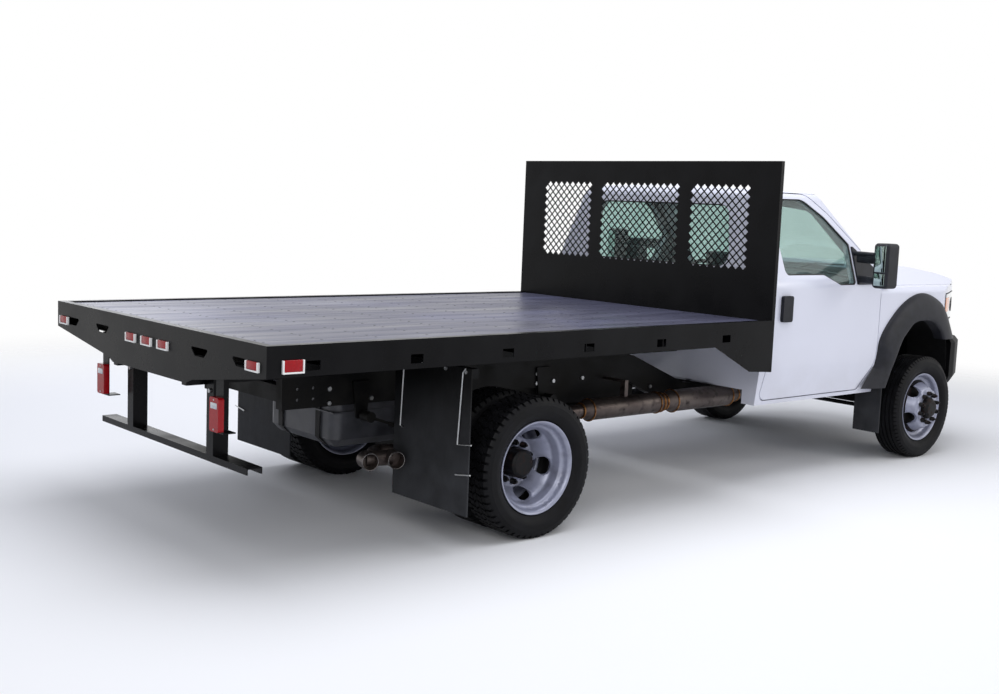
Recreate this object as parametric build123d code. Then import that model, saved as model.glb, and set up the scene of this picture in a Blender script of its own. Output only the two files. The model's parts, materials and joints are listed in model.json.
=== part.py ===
from build123d import *
import math
import os

os.makedirs("parts", exist_ok=True)

# Flatbed truck: a chassis cab on six wheels that carries a platform body with a headboard.
# Millimetres. X runs forward, Y to the left and Z up, with the ground at Z 0.
# X is counted from the rear axle here. The last lines move every piece together, so that
# X 0 is the middle of the truck's length.

# Whole truck
# The cab and the front end are drawn at stations whose front axle is at 4186, and front()
# turns a station into X. So another wheelbase moves them, and the bed grows with it.
WHEELBASE = 4186
FRONT_AXLE_STATION = 4186
NOSE_STATION = 5159
REAR_END = -1753
MARKER_DEPTH = 16


def front(station):
    return station + WHEELBASE - FRONT_AXLE_STATION


def midway(x):
    """A place that stays at its share of the way from the rear axle to the front axle."""
    return x * WHEELBASE / FRONT_AXLE_STATION


MIDDLE_X = (REAR_END - MARKER_DEPTH + front(NOSE_STATION)) / 2

# Tyres and wheels, sizes of a 225/70 R 19.5 tyre on a 19.5 by 6 inch disc wheel
TYRE_RADIUS = 396
TYRE_HALF_WIDTH = 113
TREAD_HALF_WIDTH = 90
RIM_HALF_WIDTH = 88
RIM_FLANGE_RADIUS = 263
BEAD_RADIUS = 248
BEAD_HALF_WIDTH = 77
RIM_WELL_RADIUS = 222
RIM_WALL = 8
DISC_WALL = 12
DISC_OFFSET = 136
DISC_BORE_RADIUS = 85
STUD_CIRCLE_RADIUS = 112.5
STUD_COUNT = 10
NUT_RADIUS = 17
NUT_LENGTH = 30
HAND_HOLE_COUNT = 5
HAND_HOLE_RADIUS = 178
HAND_HOLE_TURN = 28
HAND_HOLE_LENGTH = 102
HAND_HOLE_WIDTH = 62
HUB_RADIUS = 82
HUB_BORE_RADIUS = 45
SPINDLE_CLEARANCE = 1
BRAKE_DISC_RADIUS = 185
BRAKE_DISC_WALL = 34
BRAKE_DISC_Y = 12
FRONT_TYRE_Y = 950
REAR_PAIR_Y = 940
AXLE_Z = TYRE_RADIUS

# Chassis frame
RAIL_Y = 432
RAIL_FLANGE = 62
RAIL_WALL = 7
RAIL_DEPTH = 170
RAIL_TOP_Z = 872
RAIL_REAR_X = -1195
RAIL_FRONT_STATION = 4880
RAIL_FRONT_X = front(RAIL_FRONT_STATION)
CAB_RAIL_TOP_Z = 640

# Platform body, whose headboard stands behind the cab
CAB_BACK_X = 2134
BED_GAP = 143
BED_HALF_WIDTH = 1219
DECK_TOP_Z = 1152
PLANK_THICKNESS = 38
PLANK_COUNT = 12
PLANK_GAP = 3
BED_STEEL = 5
SIDE_RAIL_DEPTH = 150
SIDE_RAIL_TOP_Z = 1160
SIDE_RAIL_FLANGE = 48
BED_CROSSMEMBER_DEPTH = 89
SILL_WIDTH = 50
HEADBOARD_TOP_Z = 2182
HEADBOARD_DEPTH = 30
HEADBOARD_X = front(CAB_BACK_X) - BED_GAP - HEADBOARD_DEPTH
HEADBOARD_POST_WIDTH = 95
HEADBOARD_SHEET = 4
STAKE_POCKET_COUNT = 6
FIRST_POCKET_X = REAR_END + 249
LAST_POCKET_X = HEADBOARD_X - 450
POCKET_STEP = (LAST_POCKET_X - FIRST_POCKET_X) / (STAKE_POCKET_COUNT - 1)
STAKE_POCKET_X = [FIRST_POCKET_X + POCKET_STEP * index for index in range(STAKE_POCKET_COUNT)]
STAKE_SLOT_LENGTH = 78
STAKE_SLOT_HEIGHT = 46
STAKE_SLOT_Z = 1060

# Cab, in stations
CAB_HALF_WIDTH = 1016
CAB_ROOF_Z = 2042
CAB_WALL = 60
CAB_FLOOR_Z = 700
CAB_FLOOR_WALL = 50
ROCKER_Z = 555
ROCKER_INNER_Y = 880
ROOF_SEAM_Z = 1995
DOOR_FRONT_X = 3536
ROOF_HALF_WIDTH = 700
PANEL_GAP = 7
DOOR_SEAL = 17
GLASS_WALL = 6
GLASS_INSET = 14
WINDSHIELD_RADIUS = 3600
WINDSHIELD_BASE = (3790, 1400)
WINDSHIELD_TOP = (3110, 2003)

# Front end, in stations
CLIP_WALL = 30
HOOD_HALF_WIDTH = 905
HOOD_SEAM_Z = 1338
ARCH_X = 4160


def block(x, y, z):
    """A box between two X, two Y and two Z values."""
    size = Box(x[1] - x[0], y[1] - y[0], z[1] - z[0])
    return Pos((x[0] + x[1]) / 2, (y[0] + y[1]) / 2, (z[0] + z[1]) / 2) * size


def outline(rows):
    """A closed face from rows of (first coordinate, second coordinate, corner radius)."""
    points = [(u, v) for u, v, radius in rows]
    radii = [radius for u, v, radius in rows]
    return make_face(FilletPolyline(*points, radius=radii, close=True))


def across(face, y):
    """An X-Z face pushed from the first Y to the second."""
    return extrude(Plane.XZ.offset(-y[0]) * face, amount=y[1] - y[0], dir=(0, 1, 0))


def along(face, x):
    """A Y-Z face pushed from the first X to the second."""
    return extrude(Plane.YZ.offset(x[0]) * face, amount=x[1] - x[0], dir=(1, 0, 0))


def upright(face, z):
    """An X-Y face pushed from the first Z to the second."""
    return extrude(Plane.XY.offset(z[0]) * face, amount=z[1] - z[0], dir=(0, 0, 1))


def full_width(rows):
    """A section from its left half, whose rows run from the bottom out and up."""
    return rows + [(-y, z, radius) for y, z, radius in reversed(rows) if y != 0]


def mirrored(shape):
    return mirror(shape, about=Plane.XZ)


def both_sides(shape):
    return [shape, mirrored(shape)]


def rod(start, end, radius):
    """A round bar between two points."""
    line = Vector(*end) - Vector(*start)
    plane = Plane(origin=start, z_dir=line)
    return extrude(plane * Circle(radius), amount=line.length, dir=line.normalized())


def pipe(points, radii, radius):
    """A round bar along straight runs that are joined by arcs."""
    path = FilletPolyline(*points, radius=radii)
    plane = Plane(origin=path @ 0, z_dir=path % 0)
    return sweep(plane * Circle(radius), path=path)


nodes = {}


# Wheels

def turned(rows):
    """A ring about the Y axis from rows of (radius, outward position)."""
    return revolve(make_face(Polyline(*rows, close=True)), axis=Axis.Y)


def tyre():
    """A tyre about the Y axis, centred on Y 0."""
    shoulder = (TYRE_RADIUS - 18, TYRE_HALF_WIDTH - 9)
    flank = (RIM_FLANGE_RADIUS + 57, TYRE_HALF_WIDTH)
    bead_top = (RIM_FLANGE_RADIUS + 1, BEAD_HALF_WIDTH)
    half = [
        Line((BEAD_RADIUS, 0), (BEAD_RADIUS, BEAD_HALF_WIDTH)),
        Line((BEAD_RADIUS, BEAD_HALF_WIDTH), bead_top),
        ThreePointArc(bead_top, flank, shoulder),
        Line(shoulder, (TYRE_RADIUS, TREAD_HALF_WIDTH)),
        Line((TYRE_RADIUS, TREAD_HALF_WIDTH), (TYRE_RADIUS, 0)),
    ]
    edges = half + [mirror(edge, about=Plane.XZ) for edge in half]
    return revolve(make_face(edges), axis=Axis.Y)


def disc_wheel():
    """A rim and its dished disc about the Y axis, with the disc bulging to +Y."""
    well = RIM_WELL_RADIUS
    wall = RIM_WALL
    outer = [
        (RIM_FLANGE_RADIUS, RIM_HALF_WIDTH),
        (RIM_FLANGE_RADIUS, BEAD_HALF_WIDTH),
        (BEAD_RADIUS, BEAD_HALF_WIDTH),
        (BEAD_RADIUS, 52),
        (well, 34),
    ]
    inner = [
        (RIM_FLANGE_RADIUS - wall, RIM_HALF_WIDTH),
        (BEAD_RADIUS - wall, BEAD_HALF_WIDTH - wall),
        (BEAD_RADIUS - wall, 52 - wall / 2),
        (well - wall, 34 - wall / 2),
    ]
    section = outer + [(r, -y) for r, y in reversed(outer)]
    section += [(r, -y) for r, y in inner] + list(reversed(inner))
    rim = turned(section)
    face_y = DISC_OFFSET
    back_y = DISC_OFFSET - DISC_WALL
    disc = turned([
        (DISC_BORE_RADIUS, face_y),
        (146, face_y),
        (160, face_y - 10),
        (200, 44),
        (well - 4, 28),
        (well - 4, 8),
        (191, 38),
        (149, back_y - 10),
        (140, back_y),
        (DISC_BORE_RADIUS, back_y),
    ])
    cutters = []
    slot = Ellipse(HAND_HOLE_LENGTH / 2, HAND_HOLE_WIDTH / 2)
    for index in range(HAND_HOLE_COUNT):
        turn = Rot(0, HAND_HOLE_TURN + 360 / HAND_HOLE_COUNT * index, 0)
        plane = Plane(origin=(0, 0, HAND_HOLE_RADIUS), x_dir=(1, 0, 0), z_dir=(0, 1, 0))
        cutters.append(turn * extrude(plane * slot, amount=DISC_OFFSET + 10))
    return rim + (disc - cutters)


def nut_ring(from_y, to_y):
    nuts = []
    for index in range(STUD_COUNT):
        turn = Rot(0, 360 / STUD_COUNT * (index + 0.5), 0)
        start = (STUD_CIRCLE_RADIUS, from_y, 0)
        end = (STUD_CIRCLE_RADIUS, to_y, 0)
        plane = Plane(origin=start, z_dir=(0, 1, 0))
        nut = plane * RegularPolygon(NUT_RADIUS, 6)
        nuts.append(turn * extrude(nut, amount=to_y - from_y, dir=(0, 1, 0)))
    return nuts


def front_wheel():
    """Wheel, hub and brake disc in one turning piece, centred on the tyre."""
    back_y = DISC_OFFSET - DISC_WALL
    hub = turned([
        (HUB_BORE_RADIUS, BRAKE_DISC_Y + BRAKE_DISC_WALL),
        (HUB_RADIUS + 20, BRAKE_DISC_Y + BRAKE_DISC_WALL),
        (HUB_RADIUS + 20, BRAKE_DISC_Y + BRAKE_DISC_WALL + 12),
        (HUB_RADIUS, BRAKE_DISC_Y + BRAKE_DISC_WALL + 24),
        (HUB_RADIUS, back_y - 16),
        (STUD_CIRCLE_RADIUS + 22, back_y - 16),
        (STUD_CIRCLE_RADIUS + 22, back_y),
        (HUB_RADIUS, back_y),
        (HUB_RADIUS, DISC_OFFSET + 20),
        (HUB_RADIUS - 22, DISC_OFFSET + 46),
        (0, DISC_OFFSET + 46),
        (0, DISC_OFFSET + 30),
        (HUB_BORE_RADIUS, DISC_OFFSET + 30),
    ])
    brake = turned([
        (HUB_BORE_RADIUS, BRAKE_DISC_Y),
        (BRAKE_DISC_RADIUS, BRAKE_DISC_Y),
        (BRAKE_DISC_RADIUS, BRAKE_DISC_Y + BRAKE_DISC_WALL),
        (HUB_BORE_RADIUS, BRAKE_DISC_Y + BRAKE_DISC_WALL),
    ])
    nuts = nut_ring(DISC_OFFSET, DISC_OFFSET + NUT_LENGTH)
    return disc_wheel() + hub + brake + nuts


def rear_wheels():
    """Two wheels back to back on one hub, centred between the two tyres."""
    inner = Pos(0, -DISC_OFFSET, 0) * disc_wheel()
    outer = mirror(inner, about=Plane.XZ)
    hub = turned([
        (HUB_BORE_RADIUS, -DISC_WALL - 150),
        (BRAKE_DISC_RADIUS, -DISC_WALL - 150),
        (BRAKE_DISC_RADIUS, -DISC_WALL - 150 + BRAKE_DISC_WALL),
        (HUB_RADIUS, -DISC_WALL - 90),
        (HUB_RADIUS, -DISC_WALL - 16),
        (STUD_CIRCLE_RADIUS + 22, -DISC_WALL - 16),
        (STUD_CIRCLE_RADIUS + 22, -DISC_WALL),
        (HUB_RADIUS, -DISC_WALL),
        (HUB_RADIUS, 95),
        (HUB_RADIUS - 20, 110),
        (0, 110),
        (0, 95),
        (HUB_BORE_RADIUS, 95),
    ])
    nuts = nut_ring(DISC_WALL, DISC_WALL + NUT_LENGTH)
    return inner + outer + hub + nuts


left_front = Pos(WHEELBASE, FRONT_TYRE_Y, AXLE_Z)
left_rear = Pos(0, REAR_PAIR_Y, AXLE_Z)
front_wheel_left = left_front * front_wheel()
front_tyre_left = left_front * tyre()
rear_wheels_left = left_rear * rear_wheels()
rear_tyres_left = [left_rear * Pos(0, y, 0) * tyre() for y in (-DISC_OFFSET, DISC_OFFSET)]
nodes["wheel_front_left"] = [front_wheel_left]
nodes["wheel_front_right"] = [mirrored(front_wheel_left)]
nodes["tyre_front_left"] = [front_tyre_left]
nodes["tyre_front_right"] = [mirrored(front_tyre_left)]
nodes["wheels_rear_left"] = [rear_wheels_left]
nodes["wheels_rear_right"] = [mirrored(rear_wheels_left)]
nodes["tyres_rear_left"] = rear_tyres_left
nodes["tyres_rear_right"] = [mirrored(shape) for shape in rear_tyres_left]


# Axles, springs and steering

KINGPIN_Y = 880
KINGPIN_RADIUS = 14
STEERING_ARM = 170
AXLE_TUBE_RADIUS = 46
BOSS_RADIUS = 40
BOSS_HALF_HEIGHT = 62
YOKE_GAP = 1
SPRING_Y = 505
SPRING_WIDTH = 76
COIL_Y = 505
COIL_RADIUS = 62
PINION_NOSE_X = 300


def front_axle():
    """A beam between two kingpin bosses, with radius arms back to the frame."""
    beam = rod((WHEELBASE, -KINGPIN_Y, AXLE_Z), (WHEELBASE, KINGPIN_Y, AXLE_Z), AXLE_TUBE_RADIUS)
    axle = beam
    for side in (-1, 1):
        foot = Pos(WHEELBASE, side * KINGPIN_Y, AXLE_Z)
        eye = foot * Cylinder(KINGPIN_RADIUS + YOKE_GAP, 2 * BOSS_HALF_HEIGHT + 2)
        trim = block(
            (WHEELBASE - 80, WHEELBASE + 80),
            sorted((side * KINGPIN_Y, side * (KINGPIN_Y + 80))),
            (AXLE_Z - 80, AXLE_Z + 80),
        )
        axle = axle - trim + foot * Cylinder(BOSS_RADIUS, 2 * BOSS_HALF_HEIGHT) - eye
        arm = across(
            outline([
                (WHEELBASE + 40, AXLE_Z - 6, 10),
                (WHEELBASE + 40, AXLE_Z + 60, 10),
                (WHEELBASE - 60, AXLE_Z + 70, 60),
                (WHEELBASE - 900, AXLE_Z + 150, 20),
                (WHEELBASE - 900, AXLE_Z + 100, 20),
                (WHEELBASE - 60, AXLE_Z - 4, 60),
            ]),
            sorted((side * (RAIL_Y - RAIL_FLANGE - 60), side * (RAIL_Y - RAIL_FLANGE - 10))),
        )
        pivot_z = AXLE_Z + 125
        arm += rod(
            (WHEELBASE - 870, side * (RAIL_Y - RAIL_FLANGE - 30), pivot_z),
            (WHEELBASE - 870, side * (RAIL_Y - RAIL_WALL), pivot_z),
            18,
        )
        perch = Pos(WHEELBASE, side * COIL_Y, AXLE_Z + AXLE_TUBE_RADIUS + 8) * Cylinder(COIL_RADIUS, 36)
        axle = axle + arm + perch
    return axle


def knuckle():
    """A forked knuckle on the left kingpin, with its spindle and steering arm."""
    low = AXLE_Z - BOSS_HALF_HEIGHT - YOKE_GAP
    high = AXLE_Z + BOSS_HALF_HEIGHT + YOKE_GAP
    ear = 30
    fork_y = KINGPIN_Y + BOSS_RADIUS + 6
    shape = block((WHEELBASE - 38, WHEELBASE + 38), (fork_y, fork_y + 20), (low - ear, high + ear))
    for z in ((low - ear, low), (high, high + ear)):
        shape += block((WHEELBASE - 38, WHEELBASE + 38), (KINGPIN_Y, fork_y + 20), z)
        shape += Pos(WHEELBASE, KINGPIN_Y, (z[0] + z[1]) / 2) * Cylinder(38, ear)
    shape += Pos(WHEELBASE, KINGPIN_Y, AXLE_Z) * Cylinder(KINGPIN_RADIUS, high - low)
    spindle_end = FRONT_TYRE_Y + DISC_OFFSET + 22
    spindle_radius = HUB_BORE_RADIUS - SPINDLE_CLEARANCE
    shape += rod((WHEELBASE, fork_y + 10, AXLE_Z), (WHEELBASE, spindle_end, AXLE_Z), spindle_radius)
    arm = block((WHEELBASE - STEERING_ARM, WHEELBASE - 30), (KINGPIN_Y - 22, KINGPIN_Y + 22), (low - ear, low))
    eye = Pos(WHEELBASE - STEERING_ARM, KINGPIN_Y, low - ear / 2) * Cylinder(26, ear)
    hole = Pos(WHEELBASE - STEERING_ARM, KINGPIN_Y, low - ear / 2) * Cylinder(9, ear + 2)
    return shape + arm + eye - hole


def tie_rod():
    """A rod between the two steering arms, with an upright stud in each arm's eye."""
    low = AXLE_Z - BOSS_HALF_HEIGHT - YOKE_GAP
    ear = 30
    x = WHEELBASE - STEERING_ARM
    rod_z = low + 26
    shape = rod((x, -KINGPIN_Y, rod_z), (x, KINGPIN_Y, rod_z), 16)
    for side in (-1, 1):
        shape += Pos(x, side * KINGPIN_Y, rod_z) * Cylinder(24, 50)
        shape += Pos(x, side * KINGPIN_Y, low + 2 - ear / 2) * Cylinder(8.5, ear + 6)
    return shape


def rear_axle():
    """A banjo housing with its pinion nose and the two axle tubes."""
    tube = rod((0, -REAR_PAIR_Y + 175, AXLE_Z), (0, REAR_PAIR_Y - 175, AXLE_Z), AXLE_TUBE_RADIUS + 6)
    spindle_radius = HUB_BORE_RADIUS - SPINDLE_CLEARANCE
    spindle_end = REAR_PAIR_Y + 88
    spindle = rod((0, -spindle_end, AXLE_Z), (0, spindle_end, AXLE_Z), spindle_radius)
    bowl = rod((-150, 0, AXLE_Z), (110, 0, AXLE_Z), 170)
    cover = rod((-190, 0, AXLE_Z), (-150, 0, AXLE_Z), 130)
    nose = Plane.YZ.offset(110) * Pos(0, AXLE_Z) * Circle(120)
    nose = extrude(nose, amount=PINION_NOSE_X - 110, dir=(1, 0, 0), taper=14)
    shape = tube + spindle + bowl + cover + nose
    for side in (-1, 1):
        shape += block(
            (-80, 80),
            sorted((side * (SPRING_Y - SPRING_WIDTH / 2), side * (SPRING_Y + SPRING_WIDTH / 2))),
            (AXLE_Z, AXLE_Z + 80),
        )
    return shape


def leaf_spring():
    """A pack of leaves over the left end of the rear axle, with its two hangers."""
    y = (SPRING_Y - SPRING_WIDTH / 2, SPRING_Y + SPRING_WIDTH / 2)
    bottom = AXLE_Z + 80
    shape = None
    # Half length, lowest point of the leaf, rise at its ends, thickness
    for half, z, rise, wall in ((690, bottom + 28, 128, 16), (520, bottom + 14, 76, 14), (330, bottom, 36, 14)):
        low = ThreePointArc((-half, z + rise), (0, z), (half, z + rise))
        high = ThreePointArc((-half, z + rise + wall), (0, z + wall), (half, z + rise + wall))
        ends = [Line(low @ 0, high @ 0), Line(low @ 1, high @ 1)]
        leaf = across(make_face([low, high] + ends), y)
        shape = leaf if shape is None else shape + leaf
    for x in (-690, 690):
        eye_z = bottom + 28 + 128 + 8
        shape += rod((x, y[0], eye_z), (x, y[1], eye_z), 30)
        hanger = across(
            outline([
                (x - 34, eye_z - 20, 12),
                (x - 60, RAIL_TOP_Z - 40, 8),
                (x + 60, RAIL_TOP_Z - 40, 8),
                (x + 34, eye_z - 20, 12),
            ]),
            (RAIL_Y, RAIL_Y + 14),
        )
        shape += hanger + rod((x, RAIL_Y, eye_z), (x, y[1], eye_z), 16)
    return shape


def coil_spring():
    """A front coil spring, drawn as a stack of round turns, with its cup on the frame."""
    foot = AXLE_Z + AXLE_TUBE_RADIUS + 26
    head = CAB_RAIL_TOP_Z - 90
    turns = 5
    pitch = (head - foot) / turns
    rows = [(0, foot)]
    for index in range(turns):
        z = foot + pitch * index
        rows += [(COIL_RADIUS - 14, z), (COIL_RADIUS, z + pitch / 2)]
    rows += [(COIL_RADIUS - 14, head), (COIL_RADIUS + 8, head), (COIL_RADIUS + 8, head + 40), (0, head + 40)]
    face = Plane.XZ * make_face(Polyline(*rows, close=True))
    bracket = block((-50, 50), (RAIL_Y - COIL_Y, 0), (head + 10, head + 40))
    return Pos(WHEELBASE, COIL_Y, 0) * (revolve(face, axis=Axis.Z) + bracket)


knuckle_left = knuckle()
nodes["front_axle"] = [front_axle()]
nodes["rear_axle"] = [rear_axle()]
nodes["knuckle_left"] = [knuckle_left]
nodes["knuckle_right"] = [mirrored(knuckle_left)]
nodes["tie_rod"] = [tie_rod()]
nodes["springs"] = both_sides(leaf_spring()) + both_sides(coil_spring())


# Chassis frame, engine, driveline, tank and exhaust

HITCH_HOLE_RADIUS = 8.5
HITCH_HOLE_X = (-1100, -1000)
HITCH_HOLE_Z = (750, 810)


def frame_rail():
    """The left rail: a channel that drops under the cab, open towards the middle."""
    drop = RAIL_TOP_Z - CAB_RAIL_TOP_Z
    side = outline([
        (RAIL_REAR_X, RAIL_TOP_Z, 0),
        (front(1500), RAIL_TOP_Z, 200),
        (front(2060), RAIL_TOP_Z - drop, 200),
        (RAIL_FRONT_X, RAIL_TOP_Z - drop, 0),
        (RAIL_FRONT_X, RAIL_TOP_Z - drop - 120, 0),
        (front(4480), RAIL_TOP_Z - drop - 120, 200),
        (front(4300), RAIL_TOP_Z - drop - RAIL_DEPTH, 200),
        (front(2000), RAIL_TOP_Z - drop - RAIL_DEPTH, 200),
        (front(1440), RAIL_TOP_Z - RAIL_DEPTH, 200),
        (RAIL_REAR_X, RAIL_TOP_Z - RAIL_DEPTH, 0),
    ])
    solid = across(side, (RAIL_Y - RAIL_FLANGE, RAIL_Y))
    hollow = across(offset(side, -RAIL_WALL), (RAIL_Y - RAIL_FLANGE, RAIL_Y - RAIL_WALL))
    rail = solid - hollow
    for x in HITCH_HOLE_X:
        for z in HITCH_HOLE_Z:
            rail -= rod((x, RAIL_Y - 20, z), (x, RAIL_Y + 20, z), HITCH_HOLE_RADIUS)
    return rail


CROSSMEMBER_ROWS = (
    # X of the middle, Z of the bottom, length along X, height
    (-1140, 735, 70, 90),
    (-760, 770, 80, 70),
    (-330, 770, 80, 70),
    (front(1420) / 2, 770, 80, 70),
    (front(1420), 770, 80, 70),
    (front(2250), 590, 90, 43),
    (front(2700), 590, 90, 43),
    (front(3900), 510, 80, 50),
    (front(4740), 540, 100, 80),
)
rail_left = frame_rail()
nodes["frame_rails"] = both_sides(rail_left)
inner_y = RAIL_Y - RAIL_WALL
nodes["frame_crossmembers"] = [
    block((x - length / 2, x + length / 2), (-inner_y, inner_y), (z, z + height))
    for x, z, length, height in CROSSMEMBER_ROWS
]

ENGINE_X = (3660, 4470)
ENGINE_HALF_WIDTH = 330
ENGINE_Z = (560, 1190)
GEARBOX_Z = 545
nodes["engine_block"] = [block(ENGINE_X, (-ENGINE_HALF_WIDTH, ENGINE_HALF_WIDTH), ENGINE_Z)]
GEARBOX_REAR_X = ENGINE_X[0] - 740
gearbox = loft([
    Plane.YZ.offset(front(GEARBOX_REAR_X)) * Pos(0, GEARBOX_Z) * Circle(90),
    Plane.YZ.offset(front(ENGINE_X[0])) * Pos(0, GEARBOX_Z + 60) * Circle(190),
])
gearbox = gearbox - block(
    (front(GEARBOX_REAR_X) - 20, front(ENGINE_X[0]) + 40), (-400, 400), (GEARBOX_Z + 75, 1000)
)
SHAFT_REAR_X = PINION_NOSE_X
shaft = rod((SHAFT_REAR_X - 40, 0, AXLE_Z), (front(GEARBOX_REAR_X) + 5, 0, GEARBOX_Z), 50)
shaft -= block((SHAFT_REAR_X - 200, SHAFT_REAR_X), (-100, 100), (AXLE_Z - 100, AXLE_Z + 100))
nodes["driveline"] = [gearbox + shaft]

TANK_X = (-810, -290)
TANK_HALF_WIDTH = 350
TANK_Z = (442, 770)
tank = block(TANK_X, (-TANK_HALF_WIDTH, TANK_HALF_WIDTH), TANK_Z)
tank = fillet(tank.edges().filter_by(Axis.Z), 60)
tank = chamfer(tank.faces().sort_by(Axis.Z)[0].edges(), 45)
flange_z = 640
tank += block(
    (TANK_X[0] - 14, TANK_X[1] + 14),
    (-TANK_HALF_WIDTH - 14, TANK_HALF_WIDTH + 14),
    (flange_z, flange_z + 8),
)
nodes["fuel_tank"] = [tank]

EXHAUST_Y = -612
EXHAUST_Z = 565
TIP_Z = 417
PIPE_RADIUS = 42
CANISTER_ROWS = (
    # X at the rear, X at the front, radius at the rear, radius at the front
    (860, 930, 45, 68),
    (930, 1560, 68, 68),
    (1560, 1640, 68, 52),
    (1640, 1720, 52, 74),
    (1720, 2300, 74, 74),
    (2300, 2400, 74, 45),
)
exhaust = None
for x0, x1, r0, r1 in CANISTER_ROWS:
    can = loft([
        Plane.YZ.offset(midway(x0)) * Pos(EXHAUST_Y, EXHAUST_Z) * Circle(r0),
        Plane.YZ.offset(midway(x1)) * Pos(EXHAUST_Y, EXHAUST_Z) * Circle(r1),
    ])
    exhaust = can if exhaust is None else exhaust + can
exhaust += pipe(
    [
        (midway(CANISTER_ROWS[0][0]) + 10, EXHAUST_Y, EXHAUST_Z),
        (420, EXHAUST_Y, EXHAUST_Z - 20),
        (-130, EXHAUST_Y, EXHAUST_Z - 20),
        (-330, EXHAUST_Y, TIP_Z),
        (-460, -470, TIP_Z),
        (-600, -430, TIP_Z),
        (-668, -580, TIP_Z),
    ],
    [300, 160, 110, 80, 60],
    PIPE_RADIUS,
)
exhaust += rod(
    (midway(CANISTER_ROWS[-1][1]) - 10, EXHAUST_Y, EXHAUST_Z),
    (front(2960), EXHAUST_Y + 100, EXHAUST_Z),
    PIPE_RADIUS,
)

HANGER_LENGTH = 30
rear_hanger_x = (midway(1240), midway(1240) + HANGER_LENGTH)
front_hanger_x = (midway(2190), midway(2190) + HANGER_LENGTH)
exhaust += block(rear_hanger_x, (EXHAUST_Y - 20, -RAIL_Y), (720, 736))
exhaust += block(rear_hanger_x, (EXHAUST_Y - 20, EXHAUST_Y + 20), (EXHAUST_Z + 50, 736))
exhaust += block(front_hanger_x, (EXHAUST_Y, -RAIL_Y), (EXHAUST_Z - 12, EXHAUST_Z + 12))

TIP_ROWS = (
    # X and Y of the middle of the mouth
    (-765, -650),
    (-615, -687),
)
TIP_RADIUS = 48
TIP_WALL = 3
TIP_RUN = (22, 87)
tip_backs = []
for x, y in TIP_ROWS:
    back = (x + TIP_RUN[0], y + TIP_RUN[1], TIP_Z)
    tip_backs.append(back)
    exhaust += rod(back, (x, y, TIP_Z), TIP_RADIUS)
    bore_start = (x + TIP_RUN[0] * 0.8, y + TIP_RUN[1] * 0.8, TIP_Z)
    bore_end = (x - TIP_RUN[0] * 0.2, y - TIP_RUN[1] * 0.2, TIP_Z)
    exhaust -= rod(bore_start, bore_end, TIP_RADIUS - TIP_WALL)
exhaust += rod(tip_backs[0], tip_backs[1], TIP_RADIUS - 4)
nodes["exhaust"] = [exhaust]


# Platform body

SILL_TOP_Z = DECK_TOP_Z - PLANK_THICKNESS - BED_CROSSMEMBER_DEPTH
SIDE_RAIL_LOW_Z = SIDE_RAIL_TOP_Z - SIDE_RAIL_DEPTH
BED_REAR_INNER_X = REAR_END + BED_STEEL
sill = block(
    (BED_REAR_INNER_X, HEADBOARD_X),
    (RAIL_Y - SILL_WIDTH, RAIL_Y),
    (RAIL_TOP_Z, SILL_TOP_Z),
)
sill -= block(
    (BED_REAR_INNER_X + 60, HEADBOARD_X - 60),
    (RAIL_Y - SILL_WIDTH, RAIL_Y - BED_STEEL),
    (RAIL_TOP_Z + BED_STEEL, SILL_TOP_Z - BED_STEEL),
)
nodes["bed_sills"] = both_sides(sill)

CROSS_COUNT = 12
CROSS_WIDTH = 40
first_x = BED_REAR_INNER_X + 90
last_x = HEADBOARD_X - 90
inside_y = BED_HALF_WIDTH - BED_STEEL
crossmembers = []
for index in range(CROSS_COUNT):
    x = first_x + (last_x - first_x) * index / (CROSS_COUNT - 1)
    z = (SILL_TOP_Z, SILL_TOP_Z + BED_CROSSMEMBER_DEPTH)
    beam = block((x - CROSS_WIDTH / 2, x + CROSS_WIDTH / 2), (-inside_y, inside_y), z)
    beam -= block(
        (x - CROSS_WIDTH / 2, x + CROSS_WIDTH / 2 - BED_STEEL),
        (-inside_y, inside_y),
        (z[0] + BED_STEEL, z[1] - BED_STEEL),
    )
    crossmembers.append(beam)
nodes["bed_crossmembers"] = crossmembers

plank_edge_y = BED_HALF_WIDTH - SIDE_RAIL_FLANGE - 2
plank_pitch = 2 * plank_edge_y / PLANK_COUNT
deck = []
for index in range(PLANK_COUNT):
    y0 = -plank_edge_y + plank_pitch * index + PLANK_GAP / 2
    deck.append(block(
        (REAR_END + SIDE_RAIL_FLANGE + 2, HEADBOARD_X - 1),
        (y0, y0 + plank_pitch - PLANK_GAP),
        (DECK_TOP_Z - PLANK_THICKNESS, DECK_TOP_Z),
    ))
nodes["deck_planks"] = deck


def side_rail():
    """The left side rail: a channel open to the inside, with stake pockets."""
    y = (BED_HALF_WIDTH - SIDE_RAIL_FLANGE, BED_HALF_WIDTH)
    x = (BED_REAR_INNER_X, HEADBOARD_X)
    rail = block(x, (y[1] - BED_STEEL, y[1]), (SIDE_RAIL_LOW_Z, SIDE_RAIL_TOP_Z))
    rail += block(x, y, (DECK_TOP_Z, SIDE_RAIL_TOP_Z))
    rail += block(x, (y[0] + 10, y[1]), (SIDE_RAIL_LOW_Z, SIDE_RAIL_LOW_Z + BED_STEEL))
    for pocket_x in STAKE_POCKET_X:
        span = (pocket_x - STAKE_SLOT_LENGTH / 2, pocket_x + STAKE_SLOT_LENGTH / 2)
        slot_z = (STAKE_SLOT_Z - STAKE_SLOT_HEIGHT / 2, STAKE_SLOT_Z + STAKE_SLOT_HEIGHT / 2)
        rail -= block(span, (y[1] - 2 * BED_STEEL, y[1] + 5), slot_z)
    return rail


nodes["side_rails"] = both_sides(side_rail())

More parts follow.
